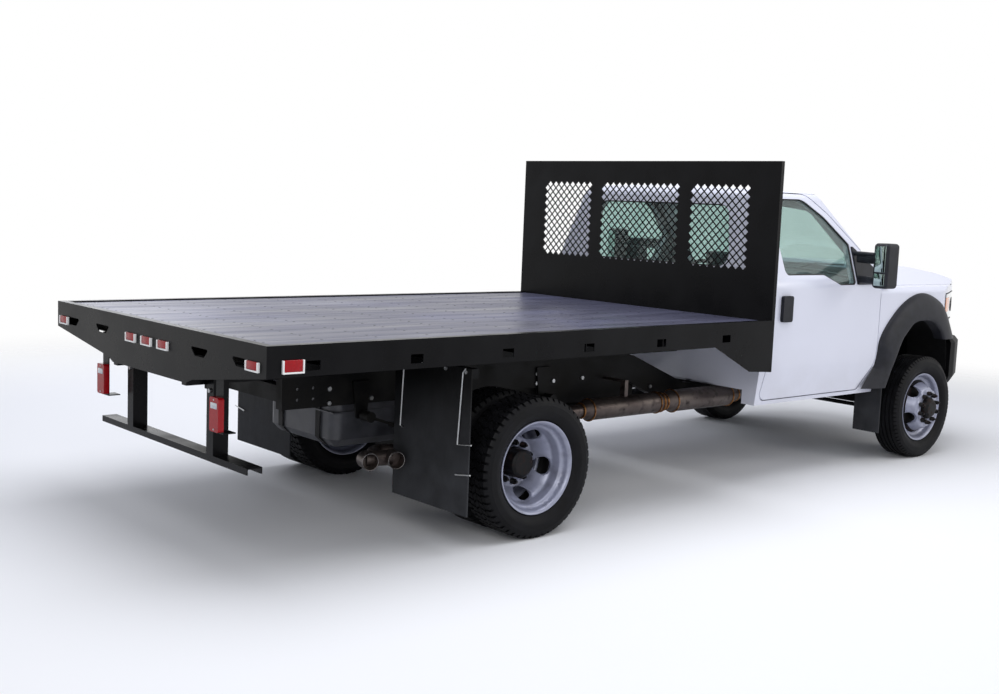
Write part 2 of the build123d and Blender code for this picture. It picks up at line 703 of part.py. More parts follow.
APRON_DEEP_HALF = 435
APRON_DEEP_Z = 887
APRON_SLOT_ROWS = ((990, 190), (575, 190))
apron_face = outline([
    (BED_HALF_WIDTH, SIDE_RAIL_TOP_Z, 0),
    (BED_HALF_WIDTH, SIDE_RAIL_LOW_Z, 0),
    (APRON_DEEP_HALF + 60, APRON_DEEP_Z + 24, 30),
    (APRON_DEEP_HALF, APRON_DEEP_Z, 20),
    (-APRON_DEEP_HALF, APRON_DEEP_Z, 20),
    (-APRON_DEEP_HALF - 60, APRON_DEEP_Z + 24, 30),
    (-BED_HALF_WIDTH, SIDE_RAIL_LOW_Z, 0),
    (-BED_HALF_WIDTH, SIDE_RAIL_TOP_Z, 0),
])
apron = along(apron_face, (REAR_END, BED_REAR_INNER_X))
apron += block(
    (REAR_END, REAR_END + SIDE_RAIL_FLANGE),
    (-BED_HALF_WIDTH + SIDE_RAIL_FLANGE, BED_HALF_WIDTH - SIDE_RAIL_FLANGE),
    (DECK_TOP_Z, SIDE_RAIL_TOP_Z),
)
for middle_y, length in APRON_SLOT_ROWS:
    for side in (-1, 1):
        slot_face = outline([
            (side * middle_y - length / 2, STAKE_SLOT_Z + 20, 8),
            (side * middle_y + length / 2, STAKE_SLOT_Z + 20, 8),
            (side * middle_y + length / 4, STAKE_SLOT_Z - 24, 8),
            (side * middle_y - length / 4, STAKE_SLOT_Z - 24, 8),
        ])
        apron -= along(slot_face, (REAR_END - 5, BED_REAR_INNER_X + 5))
nodes["rear_apron"] = [apron]

WINDOW_ROWS = (
    # Middle Y, count of diamond holes in a row
    (-730, 8),
    (0, 12),
    (730, 8),
)
WINDOW_MIDDLE_Z = 1750
DIAMOND_PITCH_Y = 61
DIAMOND_PITCH_Z = 57
DIAMOND_STRAND = 8
DIAMOND_ROWS = 10
WINDOW_MARGIN = 10
window_height = DIAMOND_ROWS * DIAMOND_PITCH_Z + 2 * WINDOW_MARGIN


def window_width(count):
    return (count + 0.5) * DIAMOND_PITCH_Y + 2 * WINDOW_MARGIN


post_y = BED_HALF_WIDTH - HEADBOARD_POST_WIDTH
headboard = block(
    (HEADBOARD_X, HEADBOARD_X + HEADBOARD_SHEET),
    (-BED_HALF_WIDTH, BED_HALF_WIDTH),
    (SIDE_RAIL_LOW_Z, HEADBOARD_TOP_Z),
)
for side in (-1, 1):
    post = block(
        (HEADBOARD_X, HEADBOARD_X + HEADBOARD_DEPTH),
        sorted((side * post_y, side * BED_HALF_WIDTH)),
        (SIDE_RAIL_LOW_Z, HEADBOARD_TOP_Z),
    )
    post -= block(
        (HEADBOARD_X + HEADBOARD_SHEET, HEADBOARD_X + HEADBOARD_DEPTH),
        sorted((side * (post_y + HEADBOARD_SHEET), side * (BED_HALF_WIDTH - HEADBOARD_SHEET))),
        (SIDE_RAIL_LOW_Z + HEADBOARD_SHEET, HEADBOARD_TOP_Z - HEADBOARD_SHEET),
    )
    headboard += post
headboard += block(
    (HEADBOARD_X, HEADBOARD_X + HEADBOARD_DEPTH),
    (-post_y, post_y),
    (HEADBOARD_TOP_Z - HEADBOARD_SHEET, HEADBOARD_TOP_Z),
)
for middle_y, count in WINDOW_ROWS:
    window_face = Pos(middle_y, WINDOW_MIDDLE_Z) * Rectangle(window_width(count), window_height)
    headboard -= along(window_face, (HEADBOARD_X - 5, HEADBOARD_X + HEADBOARD_SHEET + 5))
GUSSET_ROWS = (
    (HEADBOARD_X - 552, SIDE_RAIL_LOW_Z, 0),
    (HEADBOARD_X - 200, 838, 10),
    (HEADBOARD_X + HEADBOARD_DEPTH, 822, 0),
    (HEADBOARD_X + HEADBOARD_DEPTH, SIDE_RAIL_LOW_Z, 0),
)
gusset = across(outline(GUSSET_ROWS), (BED_HALF_WIDTH - BED_STEEL, BED_HALF_WIDTH))
nodes["headboard"] = [headboard + gusset + mirrored(gusset)]



def diamond_panel(middle_y, count):
    """A window panel whose diamond holes stand in rows, each second row moved half a pitch."""
    half_y = DIAMOND_PITCH_Y / 2
    half_z = DIAMOND_PITCH_Z / 2
    side = math.hypot(half_y, half_z)
    hole_y = half_y - DIAMOND_STRAND / 2 * side / half_z
    hole_z = half_z - DIAMOND_STRAND / 2 * side / half_y
    width = window_width(count)
    holes = []
    for row in range(2 * DIAMOND_ROWS - 1):
        z = WINDOW_MIDDLE_Z + (row + 1 - DIAMOND_ROWS) * half_z
        shift = 0.25 if row % 2 else -0.25
        for column in range(count):
            y = middle_y + (column - (count - 1) / 2 + shift) * DIAMOND_PITCH_Y
            corners = [(0, y - hole_y, z), (0, y, z - hole_z), (0, y + hole_y, z), (0, y, z + hole_z)]
            holes.append(Wire.make_polygon([Vector(*corner) for corner in corners]))
    low = WINDOW_MIDDLE_Z - window_height / 2
    high = WINDOW_MIDDLE_Z + window_height / 2
    edge = [(0, middle_y + u, v) for u, v in (
        (-width / 2, low), (width / 2, low), (width / 2, high), (-width / 2, high)
    )]
    face = Face(Wire.make_polygon([Vector(*corner) for corner in edge]), holes)
    panel = extrude(face, amount=HEADBOARD_SHEET, dir=(1, 0, 0))
    return Pos(HEADBOARD_X, 0, 0) * panel


nodes["headboard_mesh"] = [diamond_panel(*row) for row in WINDOW_ROWS]

GUARD_X = (-1634, -1548)
GUARD_TOP_Z = 514
GUARD_HALF = 848
GUARD_DEPTH = 34
GUARD_WALL = 6
GUARD_POST_WIDTH = 72
guard = block(GUARD_X, (-GUARD_HALF, GUARD_HALF), (GUARD_TOP_Z - GUARD_DEPTH, GUARD_TOP_Z))
guard -= block(
    (GUARD_X[0] + GUARD_WALL, GUARD_X[1] - GUARD_WALL),
    (-GUARD_HALF, GUARD_HALF),
    (GUARD_TOP_Z - GUARD_DEPTH, GUARD_TOP_Z - GUARD_WALL),
)
for side in (-1, 1):
    post = block(
        GUARD_X,
        sorted((side * RAIL_Y, side * (RAIL_Y + GUARD_POST_WIDTH))),
        (GUARD_TOP_Z, SILL_TOP_Z - 20),
    )
    post -= block(
        (GUARD_X[0] + GUARD_WALL, GUARD_X[1]),
        sorted((side * (RAIL_Y + GUARD_WALL), side * (RAIL_Y + GUARD_POST_WIDTH - GUARD_WALL))),
        (GUARD_TOP_Z, SILL_TOP_Z - 20),
    )
    guard += post
nodes["underride_guard"] = [guard]

LAMP_X = (-1722, -1690)
LAMP_Y = 672
LAMP_Z = (675, 846)
LAMP_WIDTH = 90
BRACKET_WALL = 6
lamp_bracket = block(
    (LAMP_X[1], LAMP_X[1] + BRACKET_WALL), (LAMP_Y - 38, LAMP_Y + 38), (LAMP_Z[0] - 12, SILL_TOP_Z)
)
lamp_bracket += block(
    (LAMP_X[1], LAMP_X[1] + 70), (LAMP_Y - 38, LAMP_Y + 38), (LAMP_Z[0] - 12, LAMP_Z[0] - 12 + BRACKET_WALL)
)
lamp_bracket += block(
    (LAMP_X[1], GUARD_X[0] + 40),
    (RAIL_Y + GUARD_POST_WIDTH, LAMP_Y + 38),
    (SILL_TOP_Z - BRACKET_WALL, SILL_TOP_Z),
)
lamp = block(LAMP_X, (LAMP_Y - LAMP_WIDTH / 2, LAMP_Y + LAMP_WIDTH / 2), LAMP_Z)
lamp = fillet(lamp.edges().filter_by(Axis.X), 12)
nodes["tail_lamps"] = both_sides(lamp)

markers = []
# Y of the middle, Z of the middle, on the rear apron
for y, z in ((190, 1050), (0, 1050), (-190, 1050), (1105, 1055), (-1105, 1055)):
    markers.append(block((REAR_END - MARKER_DEPTH, REAR_END), (y - 58, y + 58), (z - 24, z + 24)))
for side in (-1, 1):
    faces = sorted((side * BED_HALF_WIDTH, side * (BED_HALF_WIDTH + MARKER_DEPTH)))
    markers.append(block((-1675, -1559), faces, (1028, 1092)))
nodes["marker_lamps"] = markers

FLAP_X = -540
FLAP_Y = (550, 1212)
FLAP_WALL = 8
FLAP_Z = (201, 985)
flap = block((FLAP_X, FLAP_X + FLAP_WALL), FLAP_Y, FLAP_Z)
hanger = block((FLAP_X + FLAP_WALL, FLAP_X + FLAP_WALL + 40), (RAIL_Y, FLAP_Y[1]), (FLAP_Z[1] - 50, FLAP_Z[1]))
nodes["mud_flaps"] = both_sides(flap)
nodes["bed_brackets"] = both_sides(lamp_bracket) + both_sides(hanger)


# Cab

CAB_FRONT_X = DOOR_FRONT_X + PANEL_GAP
CAB_SPAN_X = (CAB_BACK_X - 134, WINDSHIELD_BASE[0] + 210)
cab_section_rows = [
    (970, 400, 0),
    (CAB_HALF_WIDTH, 800, 600),
    (CAB_HALF_WIDTH, 1360, 180),
    (770, 2005, 90),
    (0, CAB_ROOF_Z, 0),
]
cab_section = outline(full_width(cab_section_rows))
cab_profile = outline([
    (CAB_BACK_X, 540, 0),
    (CAB_BACK_X, 1400, 300),
    (2215, CAB_ROOF_Z - 30, 90),
    (2500, CAB_ROOF_Z + 6, 500),
    (WINDSHIELD_TOP[0], WINDSHIELD_TOP[1], 60),
    (WINDSHIELD_BASE[0], WINDSHIELD_BASE[1], 0),
    (WINDSHIELD_BASE[0], 1345, 0),
    (CAB_FRONT_X, 1345, 0),
    (CAB_FRONT_X, 540, 0),
])
rake_x = WINDSHIELD_TOP[0] - WINDSHIELD_BASE[0]
rake_z = WINDSHIELD_TOP[1] - WINDSHIELD_BASE[1]
rake_length = math.hypot(rake_x, rake_z)
glass_middle = Vector(
    (WINDSHIELD_BASE[0] + WINDSHIELD_TOP[0]) / 2, 0, (WINDSHIELD_BASE[1] + WINDSHIELD_TOP[1]) / 2
)
glass_normal = Vector(rake_z / rake_length, 0, -rake_x / rake_length)
glass_plane = Plane(origin=glass_middle, x_dir=(0, 1, 0), z_dir=glass_normal)


def rake_cylinder(inset):
    """A long round bar whose front line is the windshield's middle line, moved inwards."""
    radius = WINDSHIELD_RADIUS - inset
    middle = glass_middle - glass_normal * WINDSHIELD_RADIUS
    up = Vector(rake_x / rake_length, 0, rake_z / rake_length)
    plane = Plane(origin=middle - up * 2500, z_dir=up)
    return extrude(plane * Circle(radius), amount=5000, dir=up)


outer_section = along(cab_section, CAB_SPAN_X)
cab_outer = outer_section & across(cab_profile, (-1100, 1100)) & rake_cylinder(0)
inner_section = along(offset(cab_section, -CAB_WALL), CAB_SPAN_X)
cab_inner = inner_section & across(offset(cab_profile, -CAB_WALL), (-1100, 1100))
cab_inner = cab_inner & rake_cylinder(CAB_WALL)
cab_inner = cab_inner & block(CAB_SPAN_X, (-1100, 1100), (CAB_FLOOR_Z, 2200))
belly = block(
    CAB_SPAN_X, (-ROCKER_INNER_Y, ROCKER_INNER_Y), (400, CAB_FLOOR_Z - CAB_FLOOR_WALL)
)
below = block(CAB_SPAN_X, (-1100, 1100), (400, ROCKER_Z))
shell = cab_outer - cab_inner - belly - below

DOOR_REAR_X = 2245
door_rows = [
    (2168, 588, 50),
    (DOOR_REAR_X, 960, 400),
    (DOOR_REAR_X, 1440, 100),
    (2318, ROOF_SEAM_Z - 5, 60),
    (2850, ROOF_SEAM_Z - 5, 160),
    (3060, 1862, 300),
    (3548, 1455, 50),
    (DOOR_FRONT_X, 1335, 60),
    (DOOR_FRONT_X, 900, 200),
    (DOOR_FRONT_X - 28, 760, 150),
    (DOOR_FRONT_X - 196, 588, 60),
]
window_rows = [
    (2400, 1432, 40),
    (2402, 1950, 50),
    (2800, 1956, 200),
    (3017, 1835, 250),
    (3246, 1645, 30),
    (3216, 1360, 30),
    (3018, 1360, 60),
    (2839, 1432, 60),
]
door_face = outline(door_rows)
window_face = outline(window_rows)
LEFT = (ROOF_HALF_WIDTH + PANEL_GAP, 1100)
door_skin = outer_section - along(offset(cab_section, -CAB_WALL), CAB_SPAN_X)
door_left = door_skin & across(door_face, LEFT)
door_left -= across(window_face, LEFT)
doorway = across(offset(door_face, PANEL_GAP), (ROOF_HALF_WIDTH, 1100))
doorway_depth = outer_section - along(offset(cab_section, -CAB_WALL - DOOR_SEAL), CAB_SPAN_X)
doorway = doorway & doorway_depth
pane = along(offset(cab_section, -GLASS_INSET), CAB_SPAN_X)
pane -= along(offset(cab_section, -GLASS_INSET - GLASS_WALL), CAB_SPAN_X)
door_glass_left = pane & across(window_face, LEFT)

DOOR_HINGE_X = DOOR_FRONT_X - 30
DOOR_HINGE_Y = CAB_HALF_WIDTH - 10
DOOR_HINGE_Z = (900, 1250)
HINGE_PIN_RADIUS = 5
HINGE_PIN_GAP = 0.3
HINGE_PLATE = 14
HINGE_HALF_HEIGHT = 24
hinge_plates = None
for z in DOOR_HINGE_Z:
    low = z - HINGE_HALF_HEIGHT
    high = z + HINGE_HALF_HEIGHT
    pin = rod((DOOR_HINGE_X, DOOR_HINGE_Y, low - 24), (DOOR_HINGE_X, DOOR_HINGE_Y, high + 24), HINGE_PIN_RADIUS)
    plate = block(
        (DOOR_HINGE_X - HINGE_PLATE / 2, DOOR_HINGE_X + HINGE_PLATE / 2),
        (CAB_HALF_WIDTH - CAB_WALL - DOOR_SEAL - 5, DOOR_HINGE_Y),
        (low, high),
    )
    eye = rod((DOOR_HINGE_X, DOOR_HINGE_Y, low), (DOOR_HINGE_X, DOOR_HINGE_Y, high), HINGE_PLATE / 2)
    plates = pin + plate + eye
    hinge_plates = plates if hinge_plates is None else hinge_plates + plates
    door_left -= block(
        (DOOR_HINGE_X - HINGE_PLATE / 2 - 6, DOOR_FRONT_X + 5),
        (900, DOOR_HINGE_Y + HINGE_PLATE / 2 + 0.6),
        (low - 6, high + 6),
    )
    door_left -= rod(
        (DOOR_HINGE_X, DOOR_HINGE_Y, low - 26),
        (DOOR_HINGE_X, DOOR_HINGE_Y, high + 26),
        HINGE_PIN_RADIUS + HINGE_PIN_GAP,
    )

shell = shell - doorway - mirrored(doorway)
windshield_opening = extrude(
    glass_plane * outline([
        (-880, -405, 60),
        (-655, 395, 60),
        (655, 395, 60),
        (880, -405, 60),
    ]),
    amount=400,
    dir=glass_normal,
    both=True,
)
windshield = (rake_cylinder(GLASS_INSET) - rake_cylinder(GLASS_INSET + GLASS_WALL)) & windshield_opening
shell = shell - windshield_opening
rear_window_face = outline([
    (-700, 1470, 90),
    (-620, 1900, 90),
    (620, 1900, 90),
    (700, 1470, 90),
])
rear_opening = along(rear_window_face, (CAB_SPAN_X[0], CAB_BACK_X + 266))
shell = shell - rear_opening
back_pane = across(offset(cab_profile, -GLASS_INSET), (-1000, 1000))
back_pane -= across(offset(cab_profile, -GLASS_INSET - GLASS_WALL), (-1000, 1000))
rear_glass = back_pane & rear_opening
nodes["cab_glass"] = [windshield, rear_glass]

REAR_QUARTER_X = 2310
SPLIT_Y = 790
roof_zone = block(CAB_SPAN_X, (-1100, 1100), (ROOF_SEAM_Z, 2200))
roof_zone += block((REAR_QUARTER_X, 3380), (-ROOF_HALF_WIDTH + 40, ROOF_HALF_WIDTH - 40), (1900, ROOF_SEAM_Z))
back_zone = block((CAB_SPAN_X[0], REAR_QUARTER_X), (-SPLIT_Y, SPLIT_Y), (CAB_FLOOR_Z, ROOF_SEAM_Z))
floor_zone = block(CAB_SPAN_X, (-ROCKER_INNER_Y, ROCKER_INNER_Y), (400, CAB_FLOOR_Z))
front_zone = block((3380, CAB_SPAN_X[1]), (-SPLIT_Y, SPLIT_Y), (CAB_FLOOR_Z, 1440))
nodes["cab_roof"] = [shell & roof_zone]
nodes["cab_back"] = [shell & back_zone]
CAB_MOUNT_X = (2420, 3320)
cab_floor = shell & floor_zone
for x in CAB_MOUNT_X:
    for side in (-1, 1):
        mount_z = (CAB_RAIL_TOP_Z, CAB_FLOOR_Z - CAB_FLOOR_WALL + 5)
        mount_y = side * (RAIL_Y - RAIL_FLANGE / 2)
        cab_floor += Pos(x, mount_y, sum(mount_z) / 2) * Cylinder(28, mount_z[1] - mount_z[0])
nodes["cab_floor"] = [cab_floor]
nodes["cab_firewall"] = [shell & front_zone]
sides = shell - roof_zone - back_zone - floor_zone - front_zone
nodes["cab_side_frames"] = [sides + hinge_plates + mirrored(hinge_plates)]
nodes["door_left"] = [door_left]
nodes["door_right"] = [mirrored(door_left)]
nodes["door_glass_left"] = [door_glass_left]
nodes["door_glass_right"] = [mirrored(door_glass_left)]

HANDLE_X = (DOOR_REAR_X + 80, DOOR_REAR_X + 188)
handle = block(HANDLE_X, (CAB_HALF_WIDTH, CAB_HALF_WIDTH + 26), (1118, 1296))
handle = fillet(handle.edges().filter_by(Axis.Y), 18)
nodes["door_handle_left"] = [handle]
nodes["door_handle_right"] = [mirrored(handle)]

mirror_head = block((3045, 3200), (1235, 1355), (1357, 1672))
mirror_head = fillet(mirror_head.edges(), 26)
mirror_shape = mirror_head
for z in (1410, 1585):
    mirror_shape += rod((3290, 900, z), (3130, 1240, z), 16)
sail_skin = along(offset(cab_section, 12), CAB_SPAN_X) - outer_section
mirror_sail = sail_skin & across(
    outline([(3222, 1362, 10), (3252, 1640, 10), (3520, 1448, 20), (3500, 1362, 10)]), LEFT
)
mirror_shape = (mirror_shape - outer_section) + mirror_sail
nodes["mirror_left"] = [mirror_shape]
nodes["mirror_right"] = [mirrored(mirror_shape)]

seat = across(
    outline([
        (2290, 760, 20),
        (2240, 1560, 60),
        (2390, 1570, 60),
        (2470, 1120, 60),
        (2900, 1150, 60),
        (2930, 1040, 40),
        (2860, CAB_FLOOR_Z, 10),
        (2300, CAB_FLOOR_Z, 10),
    ]),
    (-760, 760),
)
nodes["bench_seat"] = [seat]
dashboard = across(
    outline([
        (CAB_FRONT_X - CAB_WALL, 1000, 0),
        (3300, 1030, 60),
        (3240, 1250, 60),
        (3330, 1340, 60),
        (CAB_FRONT_X - CAB_WALL, 1285, 0),
    ]),
    (-860, 860),
)
wheel_plane = Plane(origin=(3080, 380, 1290), z_dir=(-0.86, 0, 0.5))
steering_wheel = wheel_plane * Torus(185, 16)
for angle in (90, 210, 330):
    direction = Vector(math.cos(math.radians(angle)), math.sin(math.radians(angle)), 0)
    inner_point = wheel_plane.from_local_coords(direction * 20)
    outer_point = wheel_plane.from_local_coords(direction * 180)
    steering_wheel += rod(tuple(inner_point), tuple(outer_point), 11)
column_end = wheel_plane.from_local_coords(Vector(0, 0, -200))
column = rod(tuple(wheel_plane.origin), tuple(column_end), 40)
steering_wheel += column
nodes["dashboard"] = [dashboard - column]
nodes["steering_wheel"] = [steering_wheel]


# Front end

CLIP_SPAN_X = (CAB_FRONT_X - 143, NOSE_STATION + 41)
clip_section_rows = [
    (CAB_HALF_WIDTH, 500, 0),
    (CAB_HALF_WIDTH, 1300, 40),
    (985, 1336, 20),
    (HOOD_HALF_WIDTH, 1340, 30),
    (690, 1472, 150),
    (0, 1498, 0),
]
clip_profile_rows = [
    (CAB_FRONT_X, 500, 0),
    (CAB_FRONT_X, 1510, 0),
    (4200, 1500, 1200),
    (4760, 1410, 500),
    (5030, 1270, 120),
    (5080, 500, 0),
]
clip_plan_rows = [
    (3000, 1020, 0),
    (4470, 1020, 500),
    (4960, 790, 200),
    (5070, 620, 200),
    (5100, 0, 0),
]
clip_plan_rows = clip_plan_rows + [(x, -y, r) for x, y, r in reversed(clip_plan_rows) if y != 0]
clip_section = outline(full_width(clip_section_rows))
clip_profile = outline(clip_profile_rows)
clip_plan = outline(clip_plan_rows)


def clip_form(inset):
    section = clip_section if inset == 0 else offset(clip_section, -inset)
    profile = clip_profile if inset == 0 else offset(clip_profile, -inset)
    plan = clip_plan if inset == 0 else offset(clip_plan, -inset)
    form = along(section, CLIP_SPAN_X) & upright(plan, (400, 1600))
    return form & across(profile, (-1100, 1100))


clip_outer = clip_form(0)
clip_shell = clip_outer - clip_form(CLIP_WALL)
clip_shell = clip_shell & block((CAB_FRONT_X, CLIP_SPAN_X[1]), (-1100, 1100), (660, 1600))
HOOD_X = (3830, 4985)
hood_zone = block(HOOD_X, (-HOOD_HALF_WIDTH, HOOD_HALF_WIDTH), (HOOD_SEAM_Z, 1600))
hood = clip_shell & hood_zone
HOOD_HINGE = (3836, 1420)
HOOD_HINGE_Y = (570, 594)
HOOD_ARM_Y = (600, 614)
HOOD_PIN_RADIUS = 6
hood_arm = across(
    outline([
        (HOOD_HINGE[0] - 12, HOOD_HINGE[1] - 12, 8),
        (HOOD_HINGE[0] - 12, HOOD_HINGE[1] + 12, 8),
        (HOOD_HINGE[0] + 10, HOOD_HINGE[1] + 42, 0),
        (HOOD_HINGE[0] + 60, HOOD_HINGE[1] + 42, 0),
        (HOOD_HINGE[0] + 12, HOOD_HINGE[1] - 12, 8),
    ]),
    HOOD_ARM_Y,
)
hood_arm -= rod(
    (HOOD_HINGE[0], HOOD_ARM_Y[0] - 5, HOOD_HINGE[1]),
    (HOOD_HINGE[0], HOOD_ARM_Y[1] + 5, HOOD_HINGE[1]),
    HOOD_PIN_RADIUS + HINGE_PIN_GAP,
)
nodes["hood"] = [hood + hood_arm + mirrored(hood_arm)]
hood_bracket = across(
    outline([
        (HOOD_HINGE[0] - 36, 1380, 0),
        (HOOD_HINGE[0] - 36, 1396, 0),
        (HOOD_HINGE[0] - 8, HOOD_HINGE[1] + 10, 6),
        (HOOD_HINGE[0] + 10, HOOD_HINGE[1] + 10, 6),
        (HOOD_HINGE[0] + 10, HOOD_HINGE[1] - 10, 6),
        (HOOD_HINGE[0] - 14, 1380, 0),
    ]),
    HOOD_HINGE_Y,
)
hood_bracket += rod(
    (HOOD_HINGE[0], HOOD_HINGE_Y[0], HOOD_HINGE[1]),
    (HOOD_HINGE[0], HOOD_ARM_Y[1] + 3, HOOD_HINGE[1]),
    HOOD_PIN_RADIUS,
)
hood_gap_zone = block(
    (HOOD_X[0] - PANEL_GAP, HOOD_X[1] + PANEL_GAP),
    (-HOOD_HALF_WIDTH - PANEL_GAP, HOOD_HALF_WIDTH + PANEL_GAP),
    (HOOD_SEAM_Z - PANEL_GAP, 1600),
)
ARCH_ROWS = (
    # X, Z and corner radius of the wheel opening in the flare
    (ARCH_X - 620, 440, 0),
    (ARCH_X - 487, 724, 200),
    (ARCH_X - 365, 945, 200),
    (ARCH_X - 205, 1078, 200),
    (ARCH_X + 35, 1078, 150),
    (ARCH_X + 175, 990, 150),
    (ARCH_X + 235, 890, 0),
    (ARCH_X + 235, 440, 0),
)
FENDER_EDGE = 30
arch_face = outline(ARCH_ROWS)
arch_hole = across(offset(arch_face, FENDER_EDGE), (-1200, 1200))
front_box = clip_shell - hood_gap_zone - arch_hole
grille_zone = block((4900, CLIP_SPAN_X[1]), (-560, 560), (930, HOOD_SEAM_Z - PANEL_GAP))
lamp_zone = block((4480, CLIP_SPAN_X[1]), (560, 1100), (1056, 1274))
bumper_zone = block((4300, CLIP_SPAN_X[1]), (-1100, 1100), (400, 925))
front_box = front_box - grille_zone - lamp_zone - mirrored(lamp_zone) - bumper_zone
cowl_zone = block(
    (CLIP_SPAN_X[0], HOOD_X[0]), (-HOOD_HALF_WIDTH - PANEL_GAP, HOOD_HALF_WIDTH + PANEL_GAP), (1300, 1600)
)
header_zone = block((4900, CLIP_SPAN_X[1]), (-560, 560), (400, 1600))
nodes["fenders"] = [front_box - header_zone - cowl_zone]
cowl = block((3560, HOOD_X[0] - PANEL_GAP), (-HOOD_HALF_WIDTH, HOOD_HALF_WIDTH), (1345, 1392))
cowl = cowl - cab_outer
nodes["cowl"] = [cowl + hood_bracket + mirrored(hood_bracket)]
lamp_shell = clip_outer - clip_form(80)
headlamp = lamp_shell & lamp_zone
nodes["headlamps"] = both_sides(headlamp)

grille_shell = clip_outer - clip_form(50)
grille = grille_shell & grille_zone
for z in (990, 1070, 1150, 1230):
    grille -= block((4900, CLIP_SPAN_X[1]), (-530, -20), (z - 26, z + 26))
    grille -= block((4900, CLIP_SPAN_X[1]), (20, 530), (z - 26, z + 26))
nodes["grille"] = [grille]
radiator_foot_z = CROSSMEMBER_ROWS[-1][1] + CROSSMEMBER_ROWS[-1][3]
nodes["radiator"] = [block((4700, 4790), (-366, 366), (radiator_foot_z, 1240))]

bumper_plan = [
    (4612, 1010, 0),
    (4700, 1000, 100),
    (5000, 860, 240),
    (NOSE_STATION - 10, 640, 200),
    (NOSE_STATION, 0, 0),
]
bumper_plan = bumper_plan + [(x, -y, r) for x, y, r in reversed(bumper_plan) if y != 0]
bumper_face = outline(bumper_plan)
BUMPER_Z = (548, 905)
BUMPER_LOW_EDGE = 56
BUMPER_TOP_EDGE = 30
BUMPER_WALL = 8
BUMPER_LIP = 60
middle_z = (BUMPER_Z[0] + BUMPER_LOW_EDGE, BUMPER_Z[1] - BUMPER_TOP_EDGE)
bumper = upright(bumper_face, middle_z)
bumper += extrude(
    Plane.XY.offset(middle_z[0]) * bumper_face, amount=BUMPER_LOW_EDGE, dir=(0, 0, -1), taper=30
)
top_face = outline(list(reversed(bumper_plan)))
bumper += extrude(
    Plane.XY.offset(middle_z[1]) * top_face, amount=BUMPER_TOP_EDGE, dir=(0, 0, 1), taper=40
)
bumper -= upright(offset(bumper_face, -BUMPER_LIP), (500, 1000))
bumper -= upright(offset(bumper_face, -BUMPER_WALL), middle_z)
bumper -= block((4500, 4680), (-940, 940), (500, 1000))
bumper_bracket = block(
    (RAIL_FRONT_STATION, NOSE_STATION - 14), (RAIL_Y - 50, RAIL_Y - 15), (BUMPER_Z[0] + 20, 636)
)
bumper = bumper + both_sides(bumper_bracket)
nodes["front_bumper"] = [bumper]

FLARE_WIDTH = 62
FLARE_TAPER = 15
FLARE_GAP = 10
FLARE_ROWS = (
    # X, Z and corner radius of the flare's edge on the body
    (DOOR_FRONT_X - 182, 590, 30),
    (DOOR_FRONT_X - 28 + FLARE_GAP, 757, 150),
    (DOOR_FRONT_X, 848, 100),
    (DOOR_FRONT_X + 16, 957, 150),
    (ARCH_X - 503, 1076, 200),
    (ARCH_X - 342, 1207, 200),
    (ARCH_X - 147, 1286, 200),
    (ARCH_X + 30, 1288, 200),
    (ARCH_X + 247, 1205, 200),
    (ARCH_X + 391, 1080, 150),
    (ARCH_X + 492, 921, 30),
    (ARCH_X + 200, 921, 0),
    (ARCH_X - 400, 800, 0),
    (ARCH_X - 550, 590, 0),
)
flare_edge = outline(FLARE_ROWS)
flare = extrude(
    Plane.XZ.offset(-CAB_HALF_WIDTH) * flare_edge, amount=FLARE_WIDTH, dir=(0, 1, 0), taper=FLARE_TAPER
)
flare += across(flare_edge, (CAB_HALF_WIDTH - 40, CAB_HALF_WIDTH))
flare -= across(arch_face, (900, 1200))
flare -= outer_section & block((CAB_SPAN_X[0], CAB_FRONT_X), (900, 1100), (400, 1400))
flare -= clip_outer & block((CAB_FRONT_X, CLIP_SPAN_X[1]), (900, 1100), (400, 1400))

# The opening door's slanted front edge passes over the flare's lower arm, whose back is bevelled to let it by
DOOR_SWING = 66
DOOR_SWING_GAP = 7
(edge_top_x, edge_top_z, _), (edge_low_x, edge_low_z, _) = door_rows[-2:]
edge_slope = (edge_top_x - edge_low_x) / (edge_top_z - edge_low_z)
edge_reach = DOOR_HINGE_X - edge_low_x - DOOR_SWING_GAP
cone_height = edge_reach / edge_slope
inside_edge = Pos(DOOR_HINGE_X, DOOR_HINGE_Y, edge_low_z + cone_height / 2) * Cone(edge_reach, 0, cone_height)
door_sweep = Pos(DOOR_HINGE_X, DOOR_HINGE_Y, 0) * Rot(0, 0, -DOOR_SWING) * block(
    (-400, 0), (-400, CAB_HALF_WIDTH - DOOR_HINGE_Y + DOOR_SWING_GAP), (edge_low_z - 60, edge_top_z + 40)
)
flare -= door_sweep - inside_edge
splash = block((3548, 3558), (850, 1070), (250, 740)) - flare - nodes["fenders"][0]
nodes["wheel_flares"] = both_sides(flare)
nodes["splash_flaps"] = both_sides(splash)


# Every node is written as one file, moved so that X 0 is the middle of the truck

STATION_NODES = (
    "cab_", "door_", "mirror_", "bench_seat", "dashboard", "steering_wheel", "hood", "fenders", "cowl",
    "headlamps", "grille", "radiator", "front_bumper", "wheel_flares", "splash_flaps", "engine_block",
)
for name, shapes in nodes.items():
    shift = front(0) if name.startswith(STATION_NODES) else 0
    solids = [solid for shape in shapes for solid in shape.solids()]
    placed = [Pos(shift - MIDDLE_X, 0, 0) * solid for solid in solids]
    export_step(Compound(placed), f"parts/{name}.step")
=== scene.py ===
import json
import math

import bmesh
import bpy
from mathutils import Matrix, Vector
from mathutils.bvhtree import BVHTree


